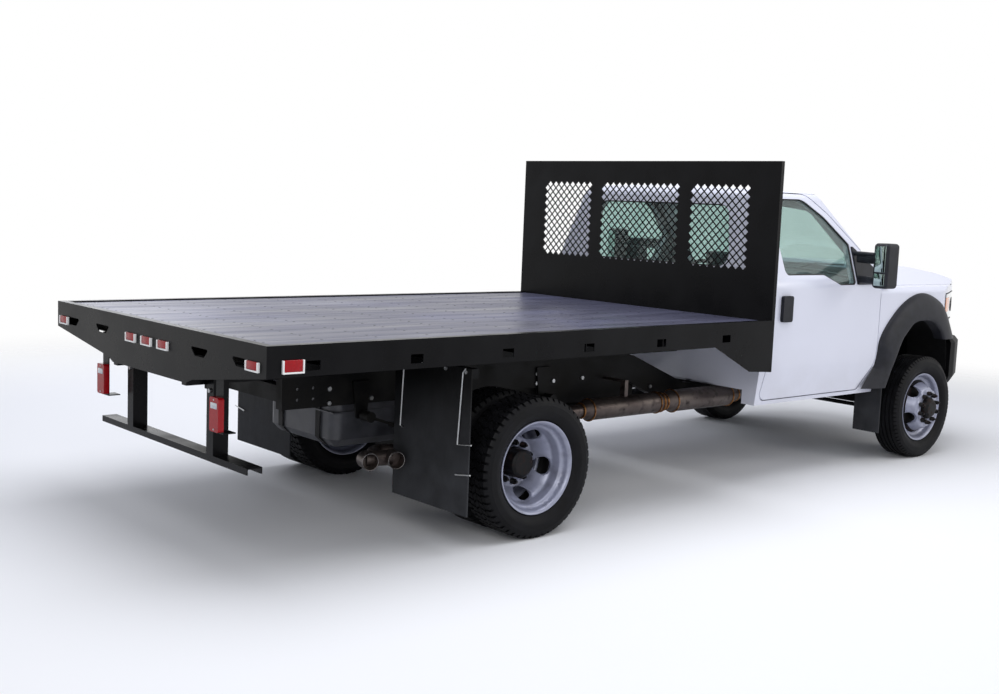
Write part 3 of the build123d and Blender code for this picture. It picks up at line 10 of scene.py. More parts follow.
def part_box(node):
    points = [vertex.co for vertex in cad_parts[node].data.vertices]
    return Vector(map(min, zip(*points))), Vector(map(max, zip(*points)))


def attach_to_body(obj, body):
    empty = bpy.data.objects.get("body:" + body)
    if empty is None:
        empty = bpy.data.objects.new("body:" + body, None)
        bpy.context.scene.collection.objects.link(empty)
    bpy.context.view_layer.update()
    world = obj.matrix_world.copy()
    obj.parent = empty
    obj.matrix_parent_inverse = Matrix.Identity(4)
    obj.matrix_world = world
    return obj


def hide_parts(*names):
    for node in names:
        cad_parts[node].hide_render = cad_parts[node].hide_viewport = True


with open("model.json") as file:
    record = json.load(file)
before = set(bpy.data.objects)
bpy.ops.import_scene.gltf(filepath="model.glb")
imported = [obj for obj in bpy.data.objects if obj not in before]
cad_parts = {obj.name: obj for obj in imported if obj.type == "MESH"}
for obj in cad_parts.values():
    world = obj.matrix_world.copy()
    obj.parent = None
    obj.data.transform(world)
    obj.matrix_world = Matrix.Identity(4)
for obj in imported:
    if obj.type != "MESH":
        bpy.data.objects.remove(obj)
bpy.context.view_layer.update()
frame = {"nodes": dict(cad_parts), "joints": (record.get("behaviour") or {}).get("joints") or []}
nodes = frame["nodes"]
joints = {joint["name"]: joint for joint in frame["joints"]}
SIDES = (("left", 1), ("right", -1))

# Camera
# The photo's view: behind the right rear corner, 1.84 m above the floor, along the side to the nose.
# The place, angles and lens were fitted to points on the wheels, platform and headboard.
CAMERA_PLACE = Vector((-6.2993, -6.0862, 1.8400))
CAMERA_YAW = 0.854
CAMERA_PITCH = 0.115
CAMERA_ROLL = 0.04
CAMERA_LENS = 44.65

camera_data = bpy.data.cameras.new("camera")
camera_data.sensor_width = 36
camera_data.lens = CAMERA_LENS
camera_data.clip_end = 200
camera = bpy.data.objects.new("camera", camera_data)
bpy.context.scene.collection.objects.link(camera)
bpy.context.scene.camera = camera
ahead = Vector((
    math.cos(CAMERA_YAW) * math.cos(CAMERA_PITCH),
    math.sin(CAMERA_YAW) * math.cos(CAMERA_PITCH),
    -math.sin(CAMERA_PITCH),
))
level_right = Vector((math.sin(CAMERA_YAW), -math.cos(CAMERA_YAW), 0))
level_up = level_right.cross(ahead)
camera_right = math.cos(CAMERA_ROLL) * level_right + math.sin(CAMERA_ROLL) * level_up
camera_up = math.cos(CAMERA_ROLL) * level_up - math.sin(CAMERA_ROLL) * level_right
turn = Matrix((camera_right, camera_up, -ahead)).transposed()
camera.matrix_world = Matrix.Translation(CAMERA_PLACE) @ turn.to_4x4()


# Studio
# A pale matt floor that fades into a white room. One large soft lamp hangs overhead, and three lower
# ones stand at the right rear, the right front and the left.
FLOOR_HALF = 14.0
FLOOR_FADE = (4.6, 9.5)
LAMPS = (
    # Name, place, size in metres, power in watts, hex colour
    ("lamp_overhead", (-0.5, -0.5, 6.5), 7.0, 370, "#F6F8FF"),
    ("lamp_rear_right", (-6.5, -6.5, 4.2), 4.5, 175, "#FFFFFF"),
    ("lamp_front_right", (5.5, -6.5, 4.0), 4.5, 135, "#FFFDF8"),
    ("lamp_left", (-1.0, 7.5, 4.5), 5.0, 130, "#F4F7FF"),
)
LAMP_AIM = Vector((0, 0, 0.8))


def linear(code):
    """A colour written as sRGB hex, as the linear numbers that a socket takes."""
    channels = [int(code[i:i + 2], 16) / 255 for i in (1, 3, 5)]
    channels = [c / 12.92 if c <= 0.04045 else ((c + 0.055) / 1.055) ** 2.4 for c in channels]
    return (*channels, 1.0)


def add_node(tree, kind, settings=None, inputs=None):
    """Adds a node, sets its properties, and gives each named input a value or a link."""
    made = tree.nodes.new(kind)
    for name, value in (settings or {}).items():
        setattr(made, name, value)
    for name, value in (inputs or {}).items():
        if isinstance(value, bpy.types.NodeSocket):
            tree.links.new(value, made.inputs[name])
        else:
            made.inputs[name].default_value = value
    return made


def new_material(name):
    """A material with an empty tree."""
    material = bpy.data.materials.new(name)
    material.use_nodes = True
    material.node_tree.nodes.clear()
    return material, material.node_tree


def mesh_object(name, vertices, faces, material=None):
    """An object at the origin whose place is in its mesh."""
    mesh = bpy.data.meshes.new(name)
    mesh.from_pydata([tuple(v) for v in vertices], [], faces)
    mesh.update()
    made = bpy.data.objects.new(name, mesh)
    bpy.context.scene.collection.objects.link(made)
    if material is not None:
        mesh.materials.append(material)
    return made


floor_paint, tree = new_material("matt_floor_paint")
place = add_node(tree, "ShaderNodeTexCoord").outputs["Object"]
reach = add_node(tree, "ShaderNodeVectorMath", {"operation": "LENGTH"}, {0: place}).outputs["Value"]
fade = add_node(tree, "ShaderNodeMapRange", {"interpolation_type": "SMOOTHSTEP"}, {
    "Value": reach, "From Min": FLOOR_FADE[0], "From Max": FLOOR_FADE[1],
}).outputs["Result"]
floor_diffuse = add_node(tree, "ShaderNodeBsdfDiffuse", None, {"Color": linear("#F2F2F2")})
floor_clear = add_node(tree, "ShaderNodeBsdfTransparent")
floor_mix = add_node(tree, "ShaderNodeMixShader", None, {
    0: fade, 1: floor_diffuse.outputs[0], 2: floor_clear.outputs[0],
})
add_node(tree, "ShaderNodeOutputMaterial", None, {"Surface": floor_mix.outputs[0]})
corners = [(x * FLOOR_HALF, y * FLOOR_HALF, -0.001) for x, y in ((-1, -1), (1, -1), (1, 1), (-1, 1))]
floor = mesh_object("floor", corners, [(0, 1, 2, 3)], floor_paint)

world = bpy.data.worlds.new("white_room")
bpy.context.scene.world = world
world.use_nodes = True
world.node_tree.nodes.clear()
tree = world.node_tree
rays = add_node(tree, "ShaderNodeLightPath")
seen = rays.outputs["Is Camera Ray"]
for ray in ("Is Glossy Ray", "Is Transmission Ray"):
    either = add_node(tree, "ShaderNodeMath", {"operation": "MAXIMUM"}, {0: seen, 1: rays.outputs[ray]})
    seen = either.outputs[0]
room_light = add_node(tree, "ShaderNodeBackground", None, {"Color": linear("#E6EAF6"), "Strength": 0.5})
room_seen = add_node(tree, "ShaderNodeBackground", None, {"Color": linear("#FFFFFF"), "Strength": 1.0})
room = add_node(tree, "ShaderNodeMixShader", None, {
    0: seen, 1: room_light.outputs[0], 2: room_seen.outputs[0],
})
add_node(tree, "ShaderNodeOutputWorld", None, {"Surface": room.outputs[0]})

for name, place, size, power, colour in LAMPS:
    lamp_data = bpy.data.lights.new(name, "AREA")
    lamp_data.shape = "DISK"
    lamp_data.size = size
    lamp_data.energy = power
    lamp_data.color = linear(colour)[:3]
    lamp = bpy.data.objects.new(name, lamp_data)
    bpy.context.scene.collection.objects.link(lamp)
    lamp.location = place
    towards = LAMP_AIM - Vector(place)
    lamp.rotation_euler = towards.to_track_quat("-Z", "Y").to_euler()

bpy.context.scene.view_settings.view_transform = "Standard"


# Chassis frame and running gear
# Pressed steel rails, cross members, axles and springs, dipped in a satin black chassis paint that
# road dust dulls on every side. Welded and riveted.

def dress(material, *names):
    """Gives CAD nodes a finish."""
    for name in names:
        for slot in nodes[name].material_slots:
            slot.material = material


def object_place(tree):
    return add_node(tree, "ShaderNodeTexCoord").outputs["Object"]


def noise(tree, place, size_mm, detail=3.0, stretch=(1, 1, 1)):
    """A soft pattern whose patches are about size_mm across, from 0 to 1."""
    scaled = add_node(tree, "ShaderNodeMapping", None, {"Vector": place, "Scale": stretch})
    return add_node(tree, "ShaderNodeTexNoise", None, {
        "Vector": scaled.outputs[0], "Scale": 1000 / size_mm, "Detail": detail,
    }).outputs["Fac"]


def blend_colours(tree, factor, low, high):
    """Goes from one colour to another, each hex or a socket, as the factor goes from 0 to 1."""
    low = linear(low) if isinstance(low, str) else low
    high = linear(high) if isinstance(high, str) else high
    mixed = add_node(tree, "ShaderNodeMix", {"data_type": "RGBA"}, {0: factor})
    for index, value in ((6, low), (7, high)):
        if isinstance(value, bpy.types.NodeSocket):
            tree.links.new(value, mixed.inputs[index])
        else:
            mixed.inputs[index].default_value = value
    return mixed.outputs[2]


def ramp(tree, value, low, high, to_low=0.0, to_high=1.0):
    """Carries a value from one range to another, and holds it at the ends."""
    return add_node(tree, "ShaderNodeMapRange", None, {
        "Value": value, "From Min": low, "From Max": high, "To Min": to_low, "To Max": to_high,
    }).outputs["Result"]


def bump(tree, height, depth_mm):
    return add_node(tree, "ShaderNodeBump", None, {
        "Height": height, "Strength": 1.0, "Distance": depth_mm / 1000,
    }).outputs["Normal"]


def coat_surface(tree, inputs):
    """The main shader and the output."""
    shader = add_node(tree, "ShaderNodeBsdfPrincipled", None, inputs)
    add_node(tree, "ShaderNodeOutputMaterial", None, {"Surface": shader.outputs[0]})


def finish(name, patches, colours, roughness, relief=None, inputs=None):
    """A material whose soft patches go from one colour to another.

    Patches are (size in mm, detail) and, where they are sharpened, the two levels between which they
    change. A roughness pair follows the patches, and a triple has a patch size of its own. Relief is
    (size, depth) in mm.
    """
    material, tree = new_material(name)
    place = object_place(tree)
    size, detail, *levels = patches
    pattern = noise(tree, place, size, detail)
    if levels:
        pattern = ramp(tree, pattern, *levels)
    surface = {"Base Color": blend_colours(tree, pattern, *colours), **(inputs or {})}
    if isinstance(roughness, (int, float)):
        surface["Roughness"] = roughness
    elif len(roughness) == 2:
        surface["Roughness"] = ramp(tree, pattern, 0, 1, *roughness)
    else:
        surface["Roughness"] = ramp(tree, noise(tree, place, roughness[0]), 0.3, 0.7, *roughness[1:])
    if relief:
        surface["Normal"] = bump(tree, noise(tree, place, relief[0]), relief[1])
    coat_surface(tree, surface)
    return material


chassis_paint = finish(
    "satin_chassis_paint", (160, 5, 0.42, 0.72), ("#0A0A0B", "#1C1B19"), (0.42, 0.7), (3, 0.15),
    {"Specular IOR Level": 0.12},
)
dress(
    chassis_paint, "frame_rails", "frame_crossmembers", "front_axle", "rear_axle", "knuckle_left",
    "knuckle_right", "tie_rod", "springs", "engine_block", "driveline", "radiator",
)


def attach(piece, body, slot, *replaced):
    """Fixes a piece to a body and hides the CAD nodes that it stands for. The slot is not used."""
    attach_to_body(piece, body)
    if replaced:
        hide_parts(*replaced)
    return piece


def smooth(piece, angle=35):
    """Soft shading, with the edges past an angle kept sharp."""
    piece.data.shade_smooth()
    piece.data.set_sharp_from_angle(angle=math.radians(angle))
    return piece


def built(name, parts, material, angle=35):
    """One piece from several (vertices, faces), with its faces pointing outwards."""
    vertices = []
    faces = []
    for part_vertices, part_faces in parts:
        faces += [tuple(len(vertices) + i for i in face) for face in part_faces]
        vertices += part_vertices
    piece = mesh_object(name, vertices, faces, material)
    work = bmesh.new()
    work.from_mesh(piece.data)
    bmesh.ops.recalc_face_normals(work, faces=work.faces)
    work.to_mesh(piece.data)
    work.free()
    return smooth(piece, angle)


def new_tree(name, sockets):
    """A Geometry Nodes tree with its named inputs and one output."""
    tree = bpy.data.node_groups.new(name, "GeometryNodeTree")
    for socket, kind in (("Geometry", "Geometry"), *sockets, ("Material", "Material")):
        tree.interface.new_socket(name=socket, in_out="INPUT", socket_type=f"NodeSocket{kind}")
    tree.interface.new_socket(name="Geometry", in_out="OUTPUT", socket_type="NodeSocketGeometry")
    return tree, add_node(tree, "NodeGroupInput").outputs


def end_tree(tree, instances, material):
    real = add_node(tree, "GeometryNodeRealizeInstances", None, {"Geometry": instances})
    dressed = add_node(tree, "GeometryNodeSetMaterial", None, {
        "Geometry": real.outputs[0], "Material": material,
    })
    add_node(tree, "NodeGroupOutput", None, {"Geometry": dressed.outputs[0]})


def grown(piece, tree, values):
    """Runs a tree on a piece and keeps the result as the piece's plain mesh."""
    modifier = piece.modifiers.new(tree.name, "NODES")
    modifier.node_group = tree
    for item in tree.interface.items_tree:
        if item.in_out == "INPUT" and item.name in values:
            modifier[item.identifier] = values[item.name]
    graph = bpy.context.evaluated_depsgraph_get()
    result = bpy.data.meshes.new_from_object(piece.evaluated_get(graph), depsgraph=graph)
    piece.modifiers.remove(modifier)
    piece.data = result
    return smooth(piece)


zinc_plate = finish(
    "zinc_plated_steel", (40, 4), ("#8E9092", "#C9CACC"), (8, 0.28, 0.45), None, {"Metallic": 0.9}
)

bolt_tree, given = new_tree("heads_on_points", (("Radius", "Float"), ("Height", "Float"), ("Sides", "Int")))
head = add_node(bolt_tree, "GeometryNodeMeshCylinder", None, {
    "Vertices": given["Sides"], "Radius": given["Radius"], "Depth": given["Height"],
})
facing = add_node(bolt_tree, "GeometryNodeInputNamedAttribute", {"data_type": "FLOAT_VECTOR"}, {
    "Name": "facing",
})
turned = add_node(bolt_tree, "FunctionNodeAlignRotationToVector", {"axis": "Z"}, {
    "Vector": facing.outputs[0],
})
heads = add_node(bolt_tree, "GeometryNodeInstanceOnPoints", None, {
    "Points": given["Geometry"], "Instance": head.outputs["Mesh"], "Rotation": turned.outputs[0],
})
end_tree(bolt_tree, heads.outputs[0], given["Material"])


def bolt_heads(name, rows, radius, height, sides, material):
    """Heads that stand half their height out of a surface, from rows of (place, facing)."""
    piece = mesh_object(name, [place for place, _ in rows], [])
    attribute = piece.data.attributes.new("facing", "FLOAT_VECTOR", "POINT")
    attribute.data.foreach_set("vector", [number for _, facing in rows for number in facing])
    return grown(piece, bolt_tree, {
        "Radius": radius, "Height": height, "Sides": sides, "Material": material,
    })


def struck(node, origin, towards):
    """Where a line first meets a CAD node, and the way the surface faces there."""
    work = bmesh.new()
    work.from_mesh(nodes[node].data)
    place, facing, _, _ = BVHTree.FromBMesh(work).ray_cast(Vector(origin), Vector(towards))
    work.free()
    return place, facing


REAR_AXLE = Vector(joints["rear_left_spin"]["pos_m"])


def at(x, y, z):
    """A place in metres, from millimetres measured from the rear axle, the middle and the floor."""
    return Vector((REAR_AXLE.x + x / 1000, y / 1000, z / 1000))


FRAME_BOLTS = (
    # X and Z on the outer face of each frame rail
    (-900, 720), (-900, 800), (-620, 729), (-663, 610), (-300, 800), (-300, 740), (640, 790), (640, 730),
    (783, 737), (1042, 740), (1259, 673), (1700, 640), (1700, 560), (2300, 560), (2300, 640), (4500, 600),
    (4500, 540),
)
rows = []
for _, sign in SIDES:
    for x, z in FRAME_BOLTS:
        place, facing = struck("frame_rails", at(x, sign * 1200, z), (0, -sign, 0))
        if place is not None and abs(place.y) > 0.4:
            rows.append((place, facing))
attach(bolt_heads("frame_bolts", rows, 0.013, 0.02, 6, zinc_plate), "chassis", "chassis_black")

# Fuel tank
# A moulded grey plastic tank behind the rear axle, with road dust on its walls. Two steel straps hold
# it up to the frame.
tank_plastic = finish(
    "moulded_tank_polyethylene", (120, 5, 0.35, 0.75), ("#2E2F34", "#494A50"), (0.35, 0.6), (4, 0.2)
)
dress(tank_plastic, "fuel_tank")


def rounded_block(low, high, radius, segments=2):
    """A block between two corners, with rounded edges."""
    work = bmesh.new()
    bmesh.ops.create_cube(work, size=1)
    for vertex in work.verts:
        vertex.co = [(l + h) / 2 + c * (h - l) for c, l, h in zip(vertex.co, low, high)]
    bmesh.ops.bevel(work, geom=work.edges, offset=radius, segments=segments, profile=0.5, affect="EDGES")
    vertices = [vertex.co.copy() for vertex in work.verts]
    faces = [[vertex.index for vertex in face.verts] for face in work.faces]
    work.free()
    return vertices, faces


def strip(points, y, thickness):
    """A flat band across the truck that follows points of (x, z), thick on their left."""
    count = len(points)
    vertices = []
    for index, (x, z) in enumerate(points):
        before = points[max(index - 1, 0)]
        after = points[min(index + 1, count - 1)]
        run = Vector((after[0] - before[0], 0, after[1] - before[1])).normalized()
        out = Vector((-run.z, 0, run.x)) * thickness
        for side in y:
            vertices += [Vector((x, side, z)), Vector((x, side, z)) + out]
    faces = [(0, 2, 3, 1), tuple(4 * (count - 1) + i for i in (0, 1, 3, 2))]
    for index in range(count - 1):
        a = 4 * index
        b = a + 4
        faces += [(a, b, b + 2, a + 2), (a + 1, a + 3, b + 3, b + 1)]
        faces += [(a, a + 1, b + 1, b), (a + 2, b + 2, b + 3, a + 3)]
    return vertices, faces


tank_low, tank_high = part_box("fuel_tank")
STRAP_PLACES = (-0.2, 0.2)
STRAP_WIDTH = 0.045
STRAP_THICKNESS = 0.003
STRAP_TOP_Z = 0.76
STRAP_INSET = 0.006
STRAP_CORNER = (0.052, 0.045)
x0 = tank_low[0] + STRAP_INSET
x1 = tank_high[0] - STRAP_INSET
corner_z = tank_low[2] + STRAP_CORNER[1]
foot_z = tank_low[2] - 0.001
strap_path = [
    (x0, STRAP_TOP_Z), (x0, corner_z), (x0 + STRAP_CORNER[0], foot_z),
    (x1 - STRAP_CORNER[0], foot_z), (x1, corner_z), (x1, STRAP_TOP_Z),
]
straps = [
    strip(strap_path, (y - STRAP_WIDTH / 2, y + STRAP_WIDTH / 2), -STRAP_THICKNESS) for y in STRAP_PLACES
]
attach(built("tank_straps", straps, chassis_paint), "chassis", "chassis_black")

# Exhaust
# Stainless pipe and canisters, welded from rolled sheet, browned by heat and dulled by the road, with
# tinted clamps. A folded black sheet behind them is painted shade: it darkens the gap under the frame.
hot_steel, tree = new_material("heat_browned_stainless")
place = object_place(tree)
stain = ramp(tree, noise(tree, place, 220, 4), 0.35, 0.65)
colour = blend_colours(tree, stain, "#4C4341", "#5F5753")
soot = ramp(tree, noise(tree, place, 60, 5), 0.55, 0.75)
coat_surface(tree, {
    "Base Color": blend_colours(tree, soot, colour, "#2A2423"),
    "Metallic": 0.85,
    "Roughness": ramp(tree, noise(tree, place, 30), 0.3, 0.7, 0.32, 0.55),
    "Normal": bump(tree, noise(tree, place, 12), 0.3),
})
dress(hot_steel, "exhaust")


def tube(points, radius, sides=10, closed=False):
    """A round bar along points."""
    points = [Vector(point) for point in points]
    count = len(points)
    across = None
    vertices = []
    for index, point in enumerate(points):
        before = points[index - 1] if index or closed else point
        after = points[(index + 1) % count] if index + 1 < count or closed else point
        run = (after - before).normalized()
        across = run.orthogonal() if across is None else across
        across = (across - run * across.dot(run)).normalized()
        third = run.cross(across)
        for side in range(sides):
            angle = math.tau * side / sides
            vertices.append(point + radius * (math.cos(angle) * across + math.sin(angle) * third))
    faces = []
    for index in range(count if closed else count - 1):
        a = index * sides
        b = (index + 1) % count * sides
        faces += [(a + i, a + (i + 1) % sides, b + (i + 1) % sides, b + i) for i in range(sides)]
    if not closed:
        faces += [tuple(range(sides)), tuple(range((count - 1) * sides, count * sides))]
    return vertices, faces


def hoop(centre, axis, radius, section, steps=40, sides=8):
    """A round bar bent to a ring about an axis."""
    axis = Vector(axis).normalized()
    first = axis.orthogonal().normalized()
    second = axis.cross(first)
    points = [
        Vector(centre) + radius * (math.cos(turn) * first + math.sin(turn) * second)
        for turn in (math.tau * step / steps for step in range(steps))
    ]
    return tube(points, section, sides, True)


tip_steel = finish(
    "polished_stainless_tip", (25, 4), ("#4E4A4A", "#7B7877"), (10, 0.18, 0.34), None, {"Metallic": 1.0}
)
heat_tint = finish(
    "straw_tinted_weld", (20, 4, 0.35, 0.65), ("#5A3A26", "#9A6E42"), 0.35, None, {"Metallic": 0.9}
)
EXHAUST_Y = -612
EXHAUST_Z = 565
TIP_Z = 417
PLANNED_WHEELBASE = 4.186
CLAMP_ROWS = (
    # X, radius of the band on the pipe, radius of the bar
    (862, 46, 7), (930, 69, 6), (1556, 69, 6), (1600, 61, 9), (1640, 53, 8), (1722, 75, 6), (2298, 75, 6),
    (2396, 47, 7),
)
wheelbase_ratio = (joints["front_left_spin"]["pos_m"][0] - REAR_AXLE.x) / PLANNED_WHEELBASE
clamps = [
    hoop(at(x * wheelbase_ratio, EXHAUST_Y, EXHAUST_Z), (1, 0, 0), radius / 1000, bar / 1000)
    for x, radius, bar in CLAMP_ROWS
]
attach(built("exhaust_clamps", clamps, heat_tint), "chassis", "exhaust_steel")
# The sheet below is painted shade: a dark folded sheet in the shaded gap under the frame rail
SHADE_SHEET_X = (300, 1560)
SHADE_SHEET_ROWS = (
    # Y and Z of two corners of the dark sheet's wall, and then of the fold along its foot
    ((-404, 562), (-400, 770)), ((-424, 562), (-402, 566)),
)
shade_sheet = [
    rounded_block(at(SHADE_SHEET_X[0], *low), at(SHADE_SHEET_X[1], *high), 0.0015, 1) for low, high in SHADE_SHEET_ROWS
]
attach(built("exhaust_shade_sheet", shade_sheet, chassis_paint), "chassis", "chassis_black")
TIP_ROWS = ((-765, -650), (-615, -687))
TIP_RUN = Vector((22, 87, 0))
LIP_RADIUS = 0.0465
LIP_BAR = 0.0035
lips = [hoop(at(x, y, TIP_Z), TIP_RUN, LIP_RADIUS, LIP_BAR) for x, y in TIP_ROWS]
attach(built("exhaust_tip_lips", lips, tip_steel), "chassis", "exhaust_steel")

# Wheels
# Pressed steel discs in silver paint, dished and with hand holes, held by ten studs. The hubs and the
# brake discs behind them are rusty black castings. The silver is drawn darker than the paint is, as
# painted shade from the platform above.
shade_darkened_wheel_paint = finish(
    "silver_wheel_paint_darkened_for_shade", (80, 5, 0.5, 0.8), ("#9093A6", "#6E6F7C"), 0.36, (2.5, 0.05),
    {"Metallic": 0.25, "Coat Weight": 0.3, "Coat Roughness": 0.15},
)


def cad_copy(node):
    """A CAD node's mesh with its loose triangles joined."""
    work = bmesh.new()
    work.from_mesh(nodes[node].data)
    bmesh.ops.remove_doubles(work, verts=work.verts, dist=2e-5)
    work.faces.ensure_lookup_table()
    return work


def flat_kept(piece):
    """Lets the broad faces of a pressed panel set the shading, so that only its folds look round."""
    modifier = piece.modifiers.new("broad_faces_flat", "WEIGHTED_NORMAL")
    modifier.keep_sharp = True
    modifier.weight = 100
    graph = bpy.context.evaluated_depsgraph_get()
    result = bpy.data.meshes.new_from_object(piece.evaluated_get(graph), depsgraph=graph)
    piece.modifiers.remove(modifier)
    piece.data = result
    return piece


def repainted(node, name, materials, choose):
    """A CAD node's own shape with a finish for each face, chosen by the face's middle and normal."""
    work = cad_copy(node)
    work.normal_update()
    for face in work.faces:
        face.material_index = choose(face.calc_center_median(), face.normal)
    piece = mesh_object(name, [], [])
    work.to_mesh(piece.data)
    work.free()
    for material in materials:
        piece.data.materials.append(material)
    return flat_kept(smooth(piece))


cast_iron = finish(
    "rusted_cast_iron", (30, 5, 0.5, 0.75), ("#0E0E10", "#2A1B18"), (0.45, 0.8), (5, 0.3),
    {"Specular IOR Level": 0.15},
)

HUB_REACH = 0.0866
NUT_REACH = 0.133
BRAKE_REACH = 0.205
DISC_FACE = {"front": 0.136, "rear": 0.014}
BRAKE_FACE = {"front": 0.06, "rear": -0.125}
STUD_REACH = 0.1125
STUD_COUNT = 10
STUD_RADIUS = 0.0085
STUD_LENGTH = 0.018
STUD_SUNK = 0.004
NUT_LENGTH = 0.03
# How far behind and in front of the disc's face its silver paint ends; behind it, inside the nut
# circle, the disc is drawn in the dark cast finish as painted shade
PAINT_BEHIND = 0.0145
PAINT_IN_FRONT = 0.0005

axle_tree, given = new_tree("repeat_about_axle", (("Count", "Int"), ("Centre", "Vector")))
spots = add_node(axle_tree, "GeometryNodePoints", None, {
    "Count": given["Count"], "Position": given["Centre"],
})
share = add_node(axle_tree, "ShaderNodeMath", {"operation": "DIVIDE"}, {0: math.tau, 1: given["Count"]})
index = add_node(axle_tree, "GeometryNodeInputIndex").outputs[0]
angle = add_node(axle_tree, "ShaderNodeMath", {"operation": "MULTIPLY"}, {0: index, 1: share.outputs[0]})
turn = add_node(axle_tree, "ShaderNodeCombineXYZ", None, {"Y": angle.outputs[0]})
turn = add_node(axle_tree, "FunctionNodeEulerToRotation", None, {0: turn.outputs[0]})
copies = add_node(axle_tree, "GeometryNodeInstanceOnPoints", None, {
    "Points": spots.outputs[0], "Instance": given["Geometry"], "Rotation": turn.outputs[0],
})
end_tree(axle_tree, copies.outputs[0], given["Material"])


def around_axle(name, parts, count, centre, material):
    """Parts made about the origin, repeated about an axle along Y through a centre."""
    piece = built(name, parts, material)
    return grown(piece, axle_tree, {"Count": count, "Centre": centre, "Material": material})


for end in ("front", "rear"):
    for side, sign in SIDES:
        axle = Vector(joints[f"{end}_{side}_spin"]["pos_m"])
        body = f"{end}_wheel_{side}" if end == "front" else f"{end}_wheels_{side}"
        node = f"wheel_front_{side}" if end == "front" else f"wheels_rear_{side}"

        def wheel_finish(middle, facing):
            reach = math.hypot(middle.x - axle.x, middle.z - axle.z)
            outward = (middle.y - axle.y) * sign
            if reach < HUB_REACH or (reach < BRAKE_REACH and outward < BRAKE_FACE[end]):
                return 1
            # Inside the nut circle, faces behind the disc's face take the dark cast finish: on the rear
            # pairs that is the inner wheel's silver disc, drawn dark as painted shade
            if reach < NUT_REACH and outward < DISC_FACE[end] - PAINT_BEHIND:
                return 1
            return 2 if reach < NUT_REACH and outward > DISC_FACE[end] + PAINT_IN_FRONT else 0

        finishes = (shade_darkened_wheel_paint, cast_iron, cast_iron)
        wheel = repainted(node, f"wheel_and_hub_{end}_{side}", finishes, wheel_finish)
        attach(wheel, body, "wheel_silver", node)
        nut_end = sign * (DISC_FACE[end] + NUT_LENGTH - STUD_SUNK)
        stud_end = nut_end + sign * STUD_LENGTH
        half_turn = math.pi / STUD_COUNT
        x = STUD_REACH * math.cos(half_turn)
        z = STUD_REACH * math.sin(half_turn)
        stud = tube([(x, nut_end, z), (x, stud_end, z)], STUD_RADIUS, 8)
        studs = around_axle(f"wheel_studs_{end}_{side}", [stud], STUD_COUNT, axle, cast_iron)
        attach(studs, body, "wheel_silver")

# Tyres
# Black carbon rubber over a steel carcass. The rear pairs carry blocks for traction and the front
# tyres have ribs. Carcass turned, blocks repeated about the axle.
tyre_rubber = finish(
    "moulded_tyre_rubber", (90, 5, 0.4, 0.8), ("#0B0B0D", "#18181B"), (0.5, 0.75), (3, 0.2),
    {"Specular IOR Level": 0.12},
)

TYRE_RADIUS = REAR_AXLE.z
TREAD_DEPTH = 0.011
TREAD_HALF = 0.090
TYRE_HALF = 0.1125
BEAD_RADIUS = 0.2485
FLANGE_RADIUS = 0.2645
BEAD_HALF = 0.0765
TYRE_STEPS = 96
TWIN_OFFSET = 0.136
WALL_STEPS = 40
# Radius and place along the axle where the sidewall is widest, and where the tread's shoulder starts
WALL_WIDEST = (0.320, TYRE_HALF)
WALL_END = (0.377, 0.1035)
RING_HALF_SHARE = 0.02
SIDEWALL_RINGS = (
    # Share of the way up the sidewall, and the height of the ring in metres
    (0.1, 0.0012), (0.17, -0.0012), (0.74, -0.0010), (0.8, 0.0010), (0.88, -0.0010),
)


def arc_through(start, middle, end, steps):
    """Points on the circle through three points of a plane."""
    (ax, ay), (bx, by), (cx, cy) = start, middle, end
    d = 2 * (ax * (by - cy) + bx * (cy - ay) + cx * (ay - by))
    a2 = ax * ax + ay * ay
    b2 = bx * bx + by * by
    c2 = cx * cx + cy * cy
    ux = (a2 * (by - cy) + b2 * (cy - ay) + c2 * (ay - by)) / d
    uy = (a2 * (cx - bx) + b2 * (ax - cx) + c2 * (bx - ax)) / d
    radius = math.hypot(ax - ux, ay - uy)
    first = math.atan2(ay - uy, ax - ux)
    last = math.atan2(cy - uy, cx - ux)
    swing = (last - first + math.pi) % math.tau - math.pi
    angles = [first + swing * step / steps for step in range(steps + 1)]
    return [(ux + radius * math.cos(angle), uy + radius * math.sin(angle)) for angle in angles]


def revolved(section, steps, centre):
    """A closed section of (radius, place along the axle), turned about an axle along Y."""
    count = len(section)
    vertices = []
    for step in range(steps):
        angle = math.tau * step / steps
        vertices += [centre + Vector((r * math.cos(angle), y, r * math.sin(angle))) for r, y in section]
    faces = []
    for step in range(steps):
        a = step * count
        b = (step + 1) % steps * count
        faces += [(a + i, a + (i + 1) % count, b + (i + 1) % count, b + i) for i in range(count)]
    return vertices, faces


def tyre_section(crown):
    """Half a tyre's section from the bead outwards, mirrored; crown holds the tread's (radius, y)."""
    wall = arc_through((FLANGE_RADIUS, BEAD_HALF + 0.001), WALL_WIDEST, WALL_END, WALL_STEPS)
    shaped = []
    for index, (radius, y) in enumerate(wall):
        share = index / WALL_STEPS
        rings = [height for middle, height in SIDEWALL_RINGS if abs(share - middle) < RING_HALF_SHARE]
        ring = sum(rings)
        shaped.append((radius, min(y + ring, TYRE_HALF)))
    half = [(BEAD_RADIUS, BEAD_HALF), *shaped, *crown]
    return half + [(radius, -y) for radius, y in reversed(half)]


def lug(section, middle, half, slant=0.0):
    """A block of rubber with a section of (radius, y), between two angles about the axle."""
    vertices = []
    for end in (-half, half):
        for radius, y in section:
            angle = middle + end + slant * y
            vertices.append(Vector((radius * math.sin(angle), y, radius * math.cos(angle))))
    count = len(section)
    faces = [tuple(range(count)), tuple(range(count, 2 * count))]
    faces += [(i, (i + 1) % count, (i + 1) % count + count, i + count) for i in range(count)]
    return vertices, faces


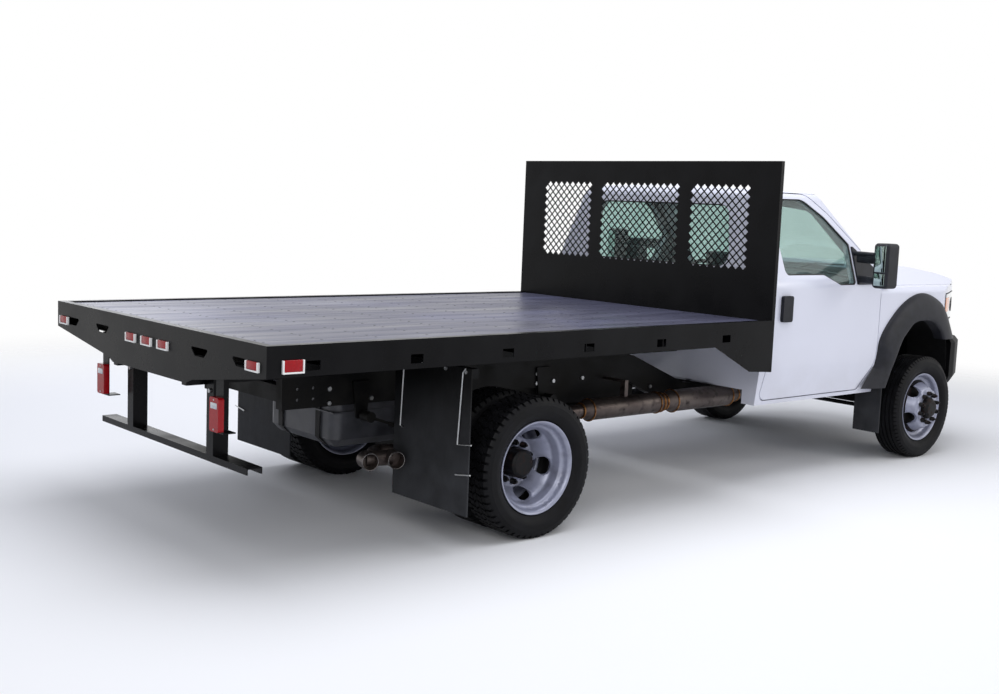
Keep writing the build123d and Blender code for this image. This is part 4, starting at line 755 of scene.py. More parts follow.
TREAD_BASE = TYRE_RADIUS - TREAD_DEPTH
block_crown = [(TREAD_BASE - 0.003, 0.094), (TREAD_BASE, 0.080)]
rib_crown = [(TREAD_BASE - 0.003, 0.094), (TREAD_BASE, 0.088)]
for inner, outer in ((0.056, 0.084), (0.021, 0.048)):
    rib_crown += [(TREAD_BASE, outer), (TYRE_RADIUS - 0.001, outer - 0.001)]
    rib_crown += [(TYRE_RADIUS - 0.001, inner + 0.001), (TREAD_BASE, inner)]
rib_crown += [(TREAD_BASE, 0.013), (TYRE_RADIUS, 0.012)]


def shoulder_block(sign, inner):
    """The section of a block that wraps over the shoulder and down the sidewall."""
    top = [(TYRE_RADIUS, inner), (TYRE_RADIUS, TREAD_HALF), (TYRE_RADIUS - 0.017, 0.1045)]
    base = [(0.358, 0.1095), (0.356, 0.100), (TREAD_BASE - 0.004, inner)]
    return [(radius, sign * y) for radius, y in top + base]


def tread_row(low, high):
    return [(TYRE_RADIUS, low), (TYRE_RADIUS, high), (TREAD_BASE - 0.004, high), (TREAD_BASE - 0.004, low)]


REAR_PITCHES = 54
FRONT_PITCHES = 72
step = math.tau / REAR_PITCHES
rear_lugs = [
    lug(shoulder_block(1, 0.058), 0.0, 0.34 * step),
    lug(shoulder_block(-1, 0.058), 0.5 * step, 0.34 * step),
    lug(tread_row(0.020, 0.053), 0.3 * step, 0.36 * step, 1.1),
    lug(tread_row(-0.053, -0.020), 0.8 * step, 0.36 * step, 1.1),
    lug(tread_row(-0.015, 0.015), 0.55 * step, 0.38 * step, -1.6),
]
step = math.tau / FRONT_PITCHES
front_lugs = [lug(shoulder_block(sign, 0.086), 0.0, 0.36 * step) for sign in (1, -1)]
for end, crown, lugs, pitches in (
    ("front", rib_crown, front_lugs, FRONT_PITCHES), ("rear", block_crown, rear_lugs, REAR_PITCHES),
):
    for side, sign in SIDES:
        body = f"{end}_wheel_{side}" if end == "front" else f"{end}_wheels_{side}"
        node = f"tyre_front_{side}" if end == "front" else f"tyres_rear_{side}"
        axle = Vector(joints[f"{end}_{side}_spin"]["pos_m"])
        twins = {"_outer": TWIN_OFFSET * sign, "_inner": -TWIN_OFFSET * sign}
        places = {"": 0.0} if end == "front" else twins
        for word, offset in places.items():
            middle = axle + Vector((0, offset, 0))
            turned = revolved(tyre_section(crown), TYRE_STEPS, middle)
            carcass = built(f"tyre_carcass_{end}_{side}{word}", [turned], tyre_rubber)
            attach(carcass, body, "tyre_rubber", node)
            tread = around_axle(f"tyre_tread_{end}_{side}{word}", lugs, pitches, middle, tyre_rubber)
            attach(tread, body, "tyre_rubber", node)

# Mud flaps
# Rubber sheet, bolted along its top edge and dusty low down, with zinc plated spring steel rods bent
# to hold each flap back from the tyres.
flap_rubber, tree = new_material("dusty_rubber_sheet")
place = object_place(tree)
height = add_node(tree, "ShaderNodeSeparateXYZ", None, {0: place}).outputs["Z"]
spray = add_node(tree, "ShaderNodeMath", {"operation": "MULTIPLY"}, {
    0: ramp(tree, height, 0.35, 0.9, 1, 0), 1: ramp(tree, noise(tree, place, 130, 5), 0.2, 0.7, 0.4, 1),
}).outputs[0]
coat_surface(tree, {
    "Base Color": blend_colours(tree, spray, "#060607", "#3C3D40"),
    "Roughness": ramp(tree, spray, 0, 1, 0.45, 0.75),
    "Specular IOR Level": 0.12,
    "Normal": bump(tree, noise(tree, place, 60, 3, (1, 1, 0.3)), 2),
})
dress(flap_rubber, "mud_flaps", "splash_flaps")
ROD_STAND_OFF = 0.005
FLAP_BACK_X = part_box("mud_flaps")[0][0] - ROD_STAND_OFF
ROD_RADIUS = 0.0045
FLAP_BOLT_Y = (0.6, 0.8, 1.0, 1.17)
FLAP_BOLT_Z = 0.965
ROD_PATHS = (
    # Y and Z of each bend, on the right side
    ((-1171, 985), (-1148, 960), (-1122, 574), (-1235, 589)),
    ((-1114, 412), (-1235, 430)),
    ((-635, 960), (-615, 598), (-640, 590)),
)
rods = []
for _, sign in SIDES:
    for path in ROD_PATHS:
        rods.append(tube([(FLAP_BACK_X, -sign * y / 1000, z / 1000) for y, z in path], ROD_RADIUS))
attach(built("mud_flap_rods", rods, zinc_plate), "chassis", "chassis_black")
flap_bolts = [
    (Vector((FLAP_BACK_X + ROD_STAND_OFF, sign * y, FLAP_BOLT_Z)), Vector((-1, 0, 0)))
    for _, sign in SIDES for y in FLAP_BOLT_Y
]
attach(bolt_heads("mud_flap_bolts", flap_bolts, 0.011, 0.014, 6, zinc_plate), "chassis", "chassis_black")

# Platform body
# Sills, cross members, rails, rear apron, guard and headboard, welded from steel channel and sheet in
# glossy black enamel. The headboard has three windows of punched sheet.
bed_enamel = finish(
    "black_bed_enamel", (260, 4, 0.35, 0.75), ("#070709", "#0F0F11"), (0.24, 0.4), (30, 0.25),
    {"Specular IOR Level": 0.1},
)
dress(
    bed_enamel, "bed_sills", "bed_crossmembers", "side_rails", "rear_apron", "headboard", "headboard_mesh",
    "underride_guard", "bed_brackets",
)
GUARD_BOLTS = (
    # Y and Z of each bolt on the underride guard's posts
    (0.468, 0.845), (0.468, 0.93),
)
SILL_BOLT_X = (-1.75, -1.15, -0.45, 0.1)
SILL_BOLT_Z = 0.95
rows = []
for _, sign in SIDES:
    for y, z in GUARD_BOLTS:
        place, facing = struck("underride_guard", (-4, sign * y, z), (1, 0, 0))
        if place is not None:
            rows.append((place, facing))
    for x in SILL_BOLT_X:
        place, facing = struck("bed_sills", (x, sign * 1.2, SILL_BOLT_Z), (0, -sign, 0))
        if place is not None:
            rows.append((place, facing))
attach(bolt_heads("bed_bolts", rows, 0.012, 0.018, 6, zinc_plate), "chassis", "bed_black")


def separate_boxes(node):
    """The lowest and highest corner of each separate solid in a CAD node, in order of place."""
    work = cad_copy(node)
    left = set(work.verts)
    boxes = []
    while left:
        queue = [left.pop()]
        group = []
        while queue:
            vertex = queue.pop()
            group.append(vertex.co.copy())
            for edge in vertex.link_edges:
                other = edge.other_vert(vertex)
                if other in left:
                    left.discard(other)
                    queue.append(other)
        low = Vector([min(place[axis] for place in group) for axis in range(3)])
        high = Vector([max(place[axis] for place in group) for axis in range(3)])
        boxes.append((low, high))
    work.free()
    return sorted(boxes, key=lambda box: [round(number, 4) for number in (*box[0], *box[1])])


# Deck
# Hardwood planks laid lengthways, brushed with black paint that the grain and traffic wear through,
# and screwed down to each cross member. The blue tint of the paint and of its sheen is painted
# reflection of a blue sky, and the lighter streaks and scuffs are partly worn paint and partly painted
# glare.
deck_paint, tree = new_material("black_painted_planks")
place = object_place(tree)
grain = noise(tree, place, 18, 6, (0.05, 1, 1))
streak_and_glare = ramp(tree, noise(tree, place, 130, 5, (0.12, 1, 1)), 0.35, 0.7)
scuff_and_glare = ramp(tree, noise(tree, place, 420, 6, (0.5, 1, 1)), 0.5, 0.75)
# Worn black paint with a blue tint that is painted sky reflection; the lighter scuff colour is partly
# painted glare
colour = blend_colours(tree, streak_and_glare, "#14151F", "#26283A")
colour = blend_colours(tree, scuff_and_glare, colour, "#383B54")
coat_surface(tree, {
    "Base Color": colour,
    "Roughness": ramp(tree, streak_and_glare, 0, 1, 0.3, 0.5),
    "Specular IOR Level": 0.5,
    # The lilac sheen tint is painted reflection of a blue sky
    "Sheen Weight": 0.2,
    "Sheen Roughness": 0.4,
    "Sheen Tint": linear("#B8B8E2"),
    "Normal": bump(tree, grain, 1.2),
})
dress(deck_paint, "deck_planks")
deck_screw = finish(
    "painted_floor_screws", (50, 4, 0.4, 0.7), ("#0F1014", "#3A3B45"), 0.45, None, {"Metallic": 0.4}
)
SCREW_OFFSET = 0.006
SCREW_INSET_SHARE = 0.2
planks = separate_boxes("deck_planks")
cross_beams = separate_boxes("bed_crossmembers")
rows = []
for beam_low, beam_high in cross_beams:
    x = (beam_low.x + beam_high.x) / 2 + SCREW_OFFSET
    for plank_low, plank_high in planks:
        inset = (plank_high.y - plank_low.y) * SCREW_INSET_SHARE
        for y in (plank_low.y + inset, plank_high.y - inset):
            rows.append((Vector((x, y, plank_high.z)), Vector((0, 0, 1))))
attach(bolt_heads("deck_screws", rows, 0.007, 0.0016, 8, deck_screw), "chassis", "deck_wood")

# Lamps
# Red acrylic marker lenses in white moulded frames, and tall red tail lamps with a clear window, each
# screwed to a steel bracket.
red_lens = finish(
    "red_acrylic_lens", (12, 3), ("#86060F", "#A80C18"), 0.2, None,
    {"Specular IOR Level": 0.2, "Coat Weight": 0.15, "Coat Roughness": 0.05},
)
dress(red_lens, "tail_lamps")

white_frame = finish(
    "white_moulded_acrylic", (20, 3), ("#E4E4E2", "#F4F4F2"), 0.3, None,
    {"Coat Weight": 0.4, "Coat Roughness": 0.1},
)
clear_lens = finish(
    "clear_polycarbonate_lens", (15, 3), ("#A3A8B0", "#C4C8CE"), 0.08, None,
    {"Metallic": 0.5, "Coat Weight": 0.5, "Coat Roughness": 0.03},
)
amber_lens = finish(
    "amber_acrylic_lens", (12, 3), ("#D06204", "#E8820F"), 0.15, None,
    {"Specular IOR Level": 0.25, "Coat Weight": 0.15, "Coat Roughness": 0.05},
)

FRAME_BAR = 0.008
LENS_SET_BACK = 0.004
lenses = []
frames = []
for low, high in separate_boxes("marker_lamps"):
    thin = 0 if high.x - low.x < high.y - low.y else 1
    wide = 1 - thin
    outward = -1 if thin == 0 else math.copysign(1, low.y)
    lens_low = low.copy()
    lens_high = high.copy()
    if outward < 0:
        lens_low[thin] += LENS_SET_BACK
    else:
        lens_high[thin] -= LENS_SET_BACK
    lens_low[wide] += FRAME_BAR
    lens_high[wide] -= FRAME_BAR
    lens_low.z += FRAME_BAR
    lenses.append(rounded_block(lens_low, lens_high, 0.004, 3))
    # The frame has bars at its two ends and its foot only; the red lens runs up to the top edge as painted
    # shade on the frame's top
    for edge in ("start", "end", "foot"):
        bar_low = low.copy()
        bar_high = high.copy()
        if edge == "start":
            bar_high[wide] = low[wide] + FRAME_BAR
        elif edge == "end":
            bar_low[wide] = high[wide] - FRAME_BAR
        else:
            bar_high.z = low.z + FRAME_BAR
            bar_low[wide] += FRAME_BAR * 0.5
            bar_high[wide] -= FRAME_BAR * 0.5
        frames.append(rounded_block(bar_low, bar_high, 0.0025))
attach(built("marker_lamp_lenses", lenses, red_lens, 50), "chassis", "lens_red", "marker_lamps")
attach(built("marker_lamp_frames", frames, white_frame, 50), "chassis", "lens_clear", "marker_lamps")

WINDOW_PROUD = 0.003
WINDOW_DEPTH = 0.01
WINDOW_INSET_SHARE = 0.16
# How far below the lamp's top the clear window's foot and top are
WINDOW_DROPS = (0.056, 0.026)
LAMP_SCREW_INSET = 0.012
windows = []
rows = []
for low, high in separate_boxes("tail_lamps"):
    inset = WINDOW_INSET_SHARE * (high.y - low.y)
    windows.append(rounded_block(
        (low.x - WINDOW_PROUD, low.y + inset, high.z - WINDOW_DROPS[0]),
        (low.x + WINDOW_DEPTH, high.y - inset, high.z - WINDOW_DROPS[1]),
        0.002,
    ))
    middle = (low.y + high.y) / 2
    for z in (low.z + LAMP_SCREW_INSET, high.z - LAMP_SCREW_INSET):
        rows.append((Vector((low.x, middle, z)), Vector((-1, 0, 0))))
attach(built("tail_lamp_windows", windows, clear_lens), "chassis", "lens_clear")
attach(bolt_heads("tail_lamp_screws", rows, 0.005, 0.004, 8, zinc_plate), "chassis", "lens_red")

# Cab panels
# Roof, back, floor, doors, hood and fenders, pressed from steel in white enamel under a clear coat,
# with a faint film of dust low down. The inner faces have a grey moulded lining.
cab_enamel, tree = new_material("white_enamel_under_clear_coat")
place = object_place(tree)
height = add_node(tree, "ShaderNodeSeparateXYZ", None, {0: place}).outputs["Z"]
film = add_node(tree, "ShaderNodeMath", {"operation": "MULTIPLY"}, {
    0: ramp(tree, height, 0.52, 0.95, 0.7, 0), 1: ramp(tree, noise(tree, place, 240, 4), 0.25, 0.85),
}).outputs[0]
coat_surface(tree, {
    "Base Color": blend_colours(tree, film, "#D8DAE7", "#BFBFC6"),
    "Roughness": ramp(tree, film, 0, 1, 0.3, 0.5),
    "Coat Weight": 0.5,
    "Coat Roughness": 0.06,
    "Normal": bump(tree, noise(tree, place, 6), 0.02),
})
dress(cab_enamel, "cab_side_frames", "hood", "fenders")

cabin_lining = finish("grey_moulded_cabin_lining", (4, 3), ("#6E6F72", "#7C7D80"), 0.7, (2, 0.2))
# The way that each panel's inner face looks, for its grey lining
LININGS = {
    "cab_roof": (0, 0, -1), "cab_back": (1, 0, 0), "cab_floor": (0, 0, 1), "cab_firewall": (-1, 0, 0),
    "door_left": (0, -1, 0), "door_right": (0, 1, 0),
}
for node, inward in LININGS.items():
    inward = Vector(inward)
    low, high = (Vector(corner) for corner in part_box(node))

    def panel_finish(middle, facing):
        inside = node != "cab_floor" or middle.z > high.z - 0.002
        return 1 if inside and facing.dot(inward) > 0.55 else 0

    panel = repainted(node, f"{node}_panel", (cab_enamel, cabin_lining), panel_finish)
    body = node if node.startswith("door") else "chassis"
    attach(panel, body, "cab_white", node)

# Glass
# Windshield, rear pane and door panes of green-tinted safety glass, held in extruded black rubber
# seals.
tinted_glass = finish(
    "green_tinted_glass", (400, 2), ("#C9DEDA", "#D2E5E1"), 0.02, None,
    {"Transmission Weight": 0.95, "IOR": 1.45},
)
dress(tinted_glass, "cab_glass", "door_glass_left", "door_glass_right")

seal_rubber = finish(
    "extruded_epdm_seal", (60, 4), ("#0E0E10", "#19191B"), 0.55, None, {"Specular IOR Level": 0.4}
)


def pane_edges(node, outward, test):
    """The edge of each pane's outer face in a CAD node, as loops of points."""
    work = cad_copy(node)
    work.normal_update()
    outer = {
        face for face in work.faces
        if face.normal.dot(outward) > 0.45 and test(face.calc_center_median())
    }
    ways = {}
    for face in outer:
        for loop in face.loops:
            if not all(other in outer for other in loop.edge.link_faces):
                ways[loop.vert.index] = loop.link_loop_next.vert.index
    work.verts.ensure_lookup_table()
    loops = []
    while ways:
        start = min(ways)
        here = ways.pop(start)
        points = [work.verts[start].co.copy()]
        while here != start and here in ways:
            points.append(work.verts[here].co.copy())
            here = ways.pop(here)
        if len(points) > 8:
            loops.append(points)
    work.free()
    return loops


def evened(points, spacing):
    """A closed line of points, redrawn with nearly equal steps."""
    lengths = [(points[(i + 1) % len(points)] - point).length for i, point in enumerate(points)]
    total = sum(lengths)
    count = max(int(total / spacing), 12)
    result = []
    index = 0
    passed = 0.0
    for step in range(count):
        target = total * step / count
        while passed + lengths[index] < target:
            passed += lengths[index]
            index += 1
        share = (target - passed) / lengths[index]
        result.append(points[index].lerp(points[(index + 1) % len(points)], share))
    return result


SEAL_RADIUS = 0.009
PANE_ROWS = (
    # Piece, node, body, the way that the pane looks, and which side of the cab it is on
    ("seal_door_left", "door_glass_left", "door_left", (0, 1, 0.2), lambda middle: True),
    ("seal_door_right", "door_glass_right", "door_right", (0, -1, 0.2), lambda middle: True),
    ("seal_windshield", "cab_glass", "chassis", (0.7, 0, 0.7), lambda middle: middle.x > 1.2),
    ("seal_rear_window", "cab_glass", "chassis", (-1, 0, 0), lambda middle: middle.x < 1.2),
)
for name, node, body, outward, test in PANE_ROWS:
    loops = pane_edges(node, Vector(outward), test)
    parts = [tube(evened(points, 0.03), SEAL_RADIUS, 8, True) for points in loops]
    attach(built(name, parts, seal_rubber, 60), body, "window_glass")

# Black trim
# Door handles, mirror heads and the cowl under the windshield, moulded in grained black
# polypropylene.
black_trim = finish(
    "grained_polypropylene", (60, 4, 0.3, 0.7), ("#16171C", "#212229"), 0.48, (2, 0.1),
    {"Specular IOR Level": 0.2},
)
dress(
    black_trim, "door_handle_left", "door_handle_right", "mirror_left", "mirror_right", "cowl",
)

# Wheel flares
# Black moulded polypropylene bands, screwed round the edge of each front wheel arch, and rounded out
# to a lip. A dark moulded liner closes the arch behind.
FLARE_EDGE = (
    # X and Z of each corner that the flare's outer edge rounds off
    (3356, 590), (3474, 710), (3521, 763), (3539, 848), (3556, 957), (3657, 1076), (3818, 1207),
    (4013, 1286), (4190, 1288), (4407, 1205), (4551, 1080), (4652, 921),
)
ARCH_EDGE = (
    # X and Z of each corner of the wheel opening, in step with the rows above
    (3610, 590), (3645, 664), (3673, 724), (3704, 776), (3748, 855), (3795, 945), (3870, 1008), (3955, 1078),
    (4195, 1078), (4300, 1012), (4345, 972), (4380, 921),
)
CAB_SIDE_Y = 1.016
FLARE_LIP_Y = 1.078
FLARE_STEPS = 8
LOW_ARM_Z = 900
LOW_ARM_FADE = 160
LOW_ARM_THINNING = 1.8
NOSE_TURN_X = 4400
NOSE_TURN = 0.32
FLARE_SECTION = (
    # Share of the way from the outer edge to the opening, and share of the way out to the lip
    (0.0, 0.0), (0.02, 0.2), (0.07, 0.38), (0.15, 0.55), (0.27, 0.71), (0.42, 0.84), (0.58, 0.93),
    (0.74, 0.98), (0.88, 1.0), (0.95, 0.97), (0.99, 0.88), (1.0, 0.74), (1.0, 0.3), (1.0, -0.4),
    (0.97, -0.4), (0.96, -0.06),
)
DOOR_PIN = (3506, 1.006)
DOOR_LOW_EDGE = ((3508, 760), (3340, 588))
DOOR_GAP = 0.008
DOOR_SKIN_GAP = 0.018
DOOR_WIDEST_SWING = math.radians(66)


def softened(corners, steps):
    """A smooth line that starts at the first corner, ends at the last and rounds off those between."""
    corners = [Vector(corner) for corner in corners]
    line = []
    last = len(corners) - 2
    for index in range(1, last + 1):
        start = corners[0] if index == 1 else (corners[index - 1] + corners[index]) / 2
        end = corners[-1] if index == last else (corners[index] + corners[index + 1]) / 2
        for step in range(steps):
            share = step / steps
            line.append(start.lerp(corners[index], share).lerp(corners[index].lerp(end, share), share))
    return [*line, corners[-1]]


def clear_of_door(place, sign):
    """Draws a point of the flare in to where the opening door's slanted edge passes outside it."""
    pin = at(DOOR_PIN[0], 0, 0)
    x = place.x - pin.x
    y = sign * place.y - DOOR_PIN[1]
    (top_x, top_z), (low_x, low_z) = DOOR_LOW_EDGE
    edge_x = low_x + (top_x - low_x) * (place.z * 1000 - low_z) / (top_z - low_z)
    reach = max((DOOR_PIN[0] - edge_x) / 1000 - DOOR_GAP, 0.002)
    outside = x * math.sin(DOOR_WIDEST_SWING) + y * math.cos(DOOR_WIDEST_SWING) > DOOR_SKIN_GAP
    behind = x * math.cos(DOOR_WIDEST_SWING) - y * math.sin(DOOR_WIDEST_SWING) < 0
    if y > 0 and behind and not outside and math.hypot(x, y) > reach:
        y = math.sqrt(max(reach * reach - x * x, 0))
    return Vector((place.x, sign * (DOOR_PIN[1] + y), place.z))


outer_line = softened(FLARE_EDGE, FLARE_STEPS)
inner_line = softened(ARCH_EDGE, FLARE_STEPS)
for side, sign in SIDES:
    vertices = []
    for outer, inner in zip(outer_line, inner_line):
        nose_turn = NOSE_TURN * max(outer.x - NOSE_TURN_X, 0) / 1000
        thinness = 1 + LOW_ARM_THINNING * min(max((LOW_ARM_Z - outer.y) / LOW_ARM_FADE, 0), 1)
        for share, height in FLARE_SECTION:
            x, z = outer.lerp(inner, share)
            base = CAB_SIDE_Y - nose_turn * (1 - share)
            height = height ** thinness if height > 0 else height
            place = at(x, sign * 1000 * (base + (FLARE_LIP_Y - base) * height), z)
            vertices.append(clear_of_door(place, sign))
    count = len(FLARE_SECTION)
    faces = [tuple(range(count)), tuple(range(len(vertices) - count, len(vertices)))]
    for index in range(len(outer_line) - 1):
        a = index * count
        for i in range(count):
            after = (i + 1) % count
            faces.append((a + i, a + after, a + after + count, a + i + count))
    flare = built(f"wheel_flare_{side}", [(vertices, faces)], black_trim, 50)
    attach(flare, "chassis", "trim_black", "wheel_flares")

liner_plastic = finish(
    "ribbed_liner_polyethylene", (70, 4), ("#0B0B0C", "#19191A"), 0.65, (5, 0.3),
    {"Specular IOR Level": 0.12},
)
LINER_EDGE = (
    (3585, 620), (3660, 770), (3790, 985), (3960, 1100), (4220, 1100), (4440, 1040), (4590, 935),
    (4600, 650),
)
LINER_Y = (0.640, 0.985)
LINER_STEPS = 6
LINER_THICKNESS = 0.004
liner_line = [at(x, 0, z) for x, z in softened(LINER_EDGE, LINER_STEPS)]
liners = []
for _, sign in SIDES:
    line = [(place.x, place.z) for place in liner_line]
    liners.append(strip(line, [sign * y for y in LINER_Y], LINER_THICKNESS))
attach(built("arch_liners", liners, liner_plastic, 50), "chassis", "trim_black")

# Mirrors
# Moulded arm covers over the steel arms, and silvered glass panes clipped into the mirror heads: a
# flat one above and a wide-angle one below.
ARM_COVERS = (
    # Middle height of each cover and half its height, in millimetres
    (1561, 41), (1402, 27),
)
ARM_RUN = ((3262, 985), (3128, 1246))
ARM_COVER_HALF = 19
ARM_COVER_SIDES = 16
ARM_COVER_SQUARENESS = 0.6
# The level way across the arm, which is square to its run
ARM_ACROSS = (0.89, 0.46)
for side, sign in SIDES:
    covers = []
    for middle_z, half_height in ARM_COVERS:
        (x0, y0), (x1, y1) = ARM_RUN
        vertices, faces = tube([at(x0, sign * y0, 0), at(x1, sign * y1, 0)], 1.0, ARM_COVER_SIDES)
        for index in range(len(vertices)):
            x, y = ARM_RUN[index // ARM_COVER_SIDES]
            angle = math.tau * (index % ARM_COVER_SIDES) / ARM_COVER_SIDES
            level, rise = (
                math.copysign(abs(part) ** ARM_COVER_SQUARENESS, part)
                for part in (math.cos(angle), math.sin(angle))
            )
            across = ARM_COVER_HALF * level
            side_y = sign * (y + ARM_ACROSS[1] * across)
            vertices[index] = at(x + ARM_ACROSS[0] * across, side_y, middle_z + half_height * rise)
        covers.append((vertices, faces))
    attach(built(f"mirror_arm_covers_{side}", covers, black_trim), "chassis", "trim_black")
silvered_glass = finish(
    "silvered_mirror_glass", (150, 2), ("#9DB0AB", "#B3C4BF"), 0.05, None, {"Metallic": 1.0}
)
MIRROR_PANES = (
    # Lowest and highest Z of each pane, in metres
    (1.472, 1.652), (1.376, 1.460),
)
MIRROR_Y = (1.256, 1.336)
for side, sign in SIDES:
    panes = []
    for low_z, high_z in MIRROR_PANES:
        middle = (0, sign * sum(MIRROR_Y) / 2, (low_z + high_z) / 2)
        place, _ = struck(f"mirror_{side}", middle, (1, 0, 0))
        y = sorted(sign * side_y for side_y in MIRROR_Y)
        panes.append(rounded_block((place.x - 0.002, y[0], low_z), (place.x + 0.004, y[1], high_z), 0.0018))
    attach(built(f"mirror_glass_{side}", panes, silvered_glass), "chassis", "window_glass")

# Wipers
# Two black wipers that rest low on the windshield. Each has a stamped arm, which rises at the
# windshield's foot, and carries a rubber blade.
WIPERS = (
    # Y of the spindle, and Y of the blade's two ends
    (0.62, 0.72, 0.12), (-0.12, -0.04, -0.62),
)
BLADE_STEPS = 8
BLADE_Z = 1.452
BLADE_RISE = 0.02
BLADE_GAP = 0.014
BLADE_RADIUS = 0.006
WIPER_ARM_RADIUS = 0.007
SPINDLE_AHEAD = 0.05
SPINDLE_Z = 1.40
wiper_parts = []
for spindle_y, blade_start, blade_end in WIPERS:
    blade = []
    for step in range(BLADE_STEPS + 1):
        y = blade_start + (blade_end - blade_start) * step / BLADE_STEPS
        z = BLADE_Z + BLADE_RISE * step / BLADE_STEPS
        place, facing = struck("cab_glass", (3.2, y, z), (-1, 0, 0))
        if place is not None:
            blade.append(place + facing * BLADE_GAP)
    wiper_parts.append(tube(blade, BLADE_RADIUS, 6))
    middle = blade[len(blade) // 2]
    foot = Vector((blade[0].x + SPINDLE_AHEAD, spindle_y, SPINDLE_Z))
    bend = foot + Vector((0, 0, 0.03))
    hinge = middle + Vector((0.004, 0, 0.008))
    wiper_parts.append(tube([foot, bend, hinge], WIPER_ARM_RADIUS, 8))
attach(built("wipers", wiper_parts, black_trim), "chassis", "trim_black")

# Front end
# Moulded grille in grey, headlamps behind clear lenses with amber corners, and a pressed steel bumper
# in black enamel.
grille_plastic = finish("grey_moulded_grille", (50, 4), ("#2E2F33", "#3B3C41"), 0.42, (2, 0.1))
dress(grille_plastic, "grille")
bumper_paint = finish(
    "satin_black_bumper_paint", (180, 4, 0.35, 0.7), ("#0A0A0B", "#121214"), 0.5, (4, 0.05),
    {"Specular IOR Level": 0.06},
)
dress(bumper_paint, "front_bumper")

grille_low, grille_high = (Vector(corner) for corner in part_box("grille"))
BAR_COUNT = 44
BAR_DEPTH = 0.006
BAR_HALF_WIDTH = 0.003
BAR_INSET = 0.02
BAR_SET_BACK = 0.03
bars = []
for index in range(BAR_COUNT):
    y = grille_low.y + (grille_high.y - grille_low.y) * (index + 0.5) / BAR_COUNT
    place, _ = struck("grille", (4, y, grille_low.z + BAR_INSET), (-1, 0, 0))
    x = place.x - BAR_SET_BACK
    bar_low = (x - BAR_DEPTH, y - BAR_HALF_WIDTH, grille_low.z + BAR_INSET)
    bar_high = (x, y + BAR_HALF_WIDTH, grille_high.z - BAR_INSET)
    bars.append(rounded_block(bar_low, bar_high, 0.001, 1))
attach(built("grille_bars", bars, grille_plastic), "chassis", "trim_black")

AMBER_Z = (1.123, 1.240)
AMBER_FROM_Y = 0.90


def lamp_finish(middle, facing):
    return 1 if AMBER_Z[0] < middle.z < AMBER_Z[1] and abs(middle.y) > AMBER_FROM_Y else 0


work = cad_copy("headlamps")
cuts = [((0, 0, z), (0, 0, 1)) for z in AMBER_Z]
cuts += [((0, sign * AMBER_FROM_Y, 0), (0, 1, 0)) for _, sign in SIDES]
for place, facing in cuts:
    everything = [*work.verts, *work.edges, *work.faces]
    bmesh.ops.bisect_plane(work, geom=everything, plane_co=place, plane_no=facing)
for face in work.faces:
    face.material_index = lamp_finish(face.calc_center_median(), face.normal)
lamps = mesh_object("headlamp_lenses", [], [])
work.to_mesh(lamps.data)
work.free()
for material in (clear_lens, amber_lens):
    lamps.data.materials.append(material)
attach(smooth(lamps), "chassis", "lens_clear", "headlamps")

REFLECTORS = (
    # Y, Z and radius of each reflector's rim, seen on the lens
    (0.655, 1.165, 0.062), (0.800, 1.165, 0.058),
)
# Each reflector's outer rim and the one round its bulb, as shares of its radius
RIM_SHARES = (1.0, 0.55)
RIM_BAR = 0.0035
GASKET_RADIUS = 0.005
# The way that the left lens looks
LENS_FACING = (0.78, 0.62, 0.1)
gaskets = []
rims = []
for _, sign in SIDES:
    outward = Vector((LENS_FACING[0], sign * LENS_FACING[1], LENS_FACING[2]))
    for points in pane_edges("headlamps", outward, lambda middle: middle.y * sign > 0):
        gaskets.append(tube(evened(points, 0.02), GASKET_RADIUS, 8, True))
    for y, z, radius in REFLECTORS:
        place, facing = struck("headlamps", (4, sign * y, z), (-1, 0, 0))
        if place is not None:
            rims += [hoop(place, facing, share * radius, RIM_BAR) for share in RIM_SHARES]
attach(built("headlamp_gaskets", gaskets, seal_rubber, 60), "chassis", "lens_clear")
attach(built("headlamp_reflector_rims", rims, tip_steel, 60), "chassis", "lens_clear")

HOOD_SEAM = (
    # X and Y of the gap between the hood and the fender
    (3836, 908.5), (4300, 908.5), (4690, 908.5), (4780, 866), (4860, 829), (4930, 792), (4975, 764),
)
HOOD_SEAM_Z = 1334.2
SEAM_RADIUS = 0.0031
seams = [tube([at(x, sign * y, HOOD_SEAM_Z) for x, y in HOOD_SEAM], SEAM_RADIUS, 8) for _, sign in SIDES]
attach(built("hood_seam_seals", seams, seal_rubber, 60), "chassis", "trim_black")

# Interior
# A moulded grey dashboard across the cab, and a black steering wheel on its column. Both are plain
# mouldings with a fine grain.
dash_plastic = finish("grey_moulded_dashboard", (5, 3), ("#3E3F42", "#4A4B4E"), 0.6, (2, 0.15))
dress(dash_plastic, "dashboard")
dress(black_trim, "steering_wheel")

# Seat
# Foam cushions in grey woven cloth on a moulded base, split three ways, with two head restraints on
# steel posts. Each cushion is crowned, with sewn channels.
seat_cloth, tree = new_material("grey_woven_seat_cloth")
place = object_place(tree)
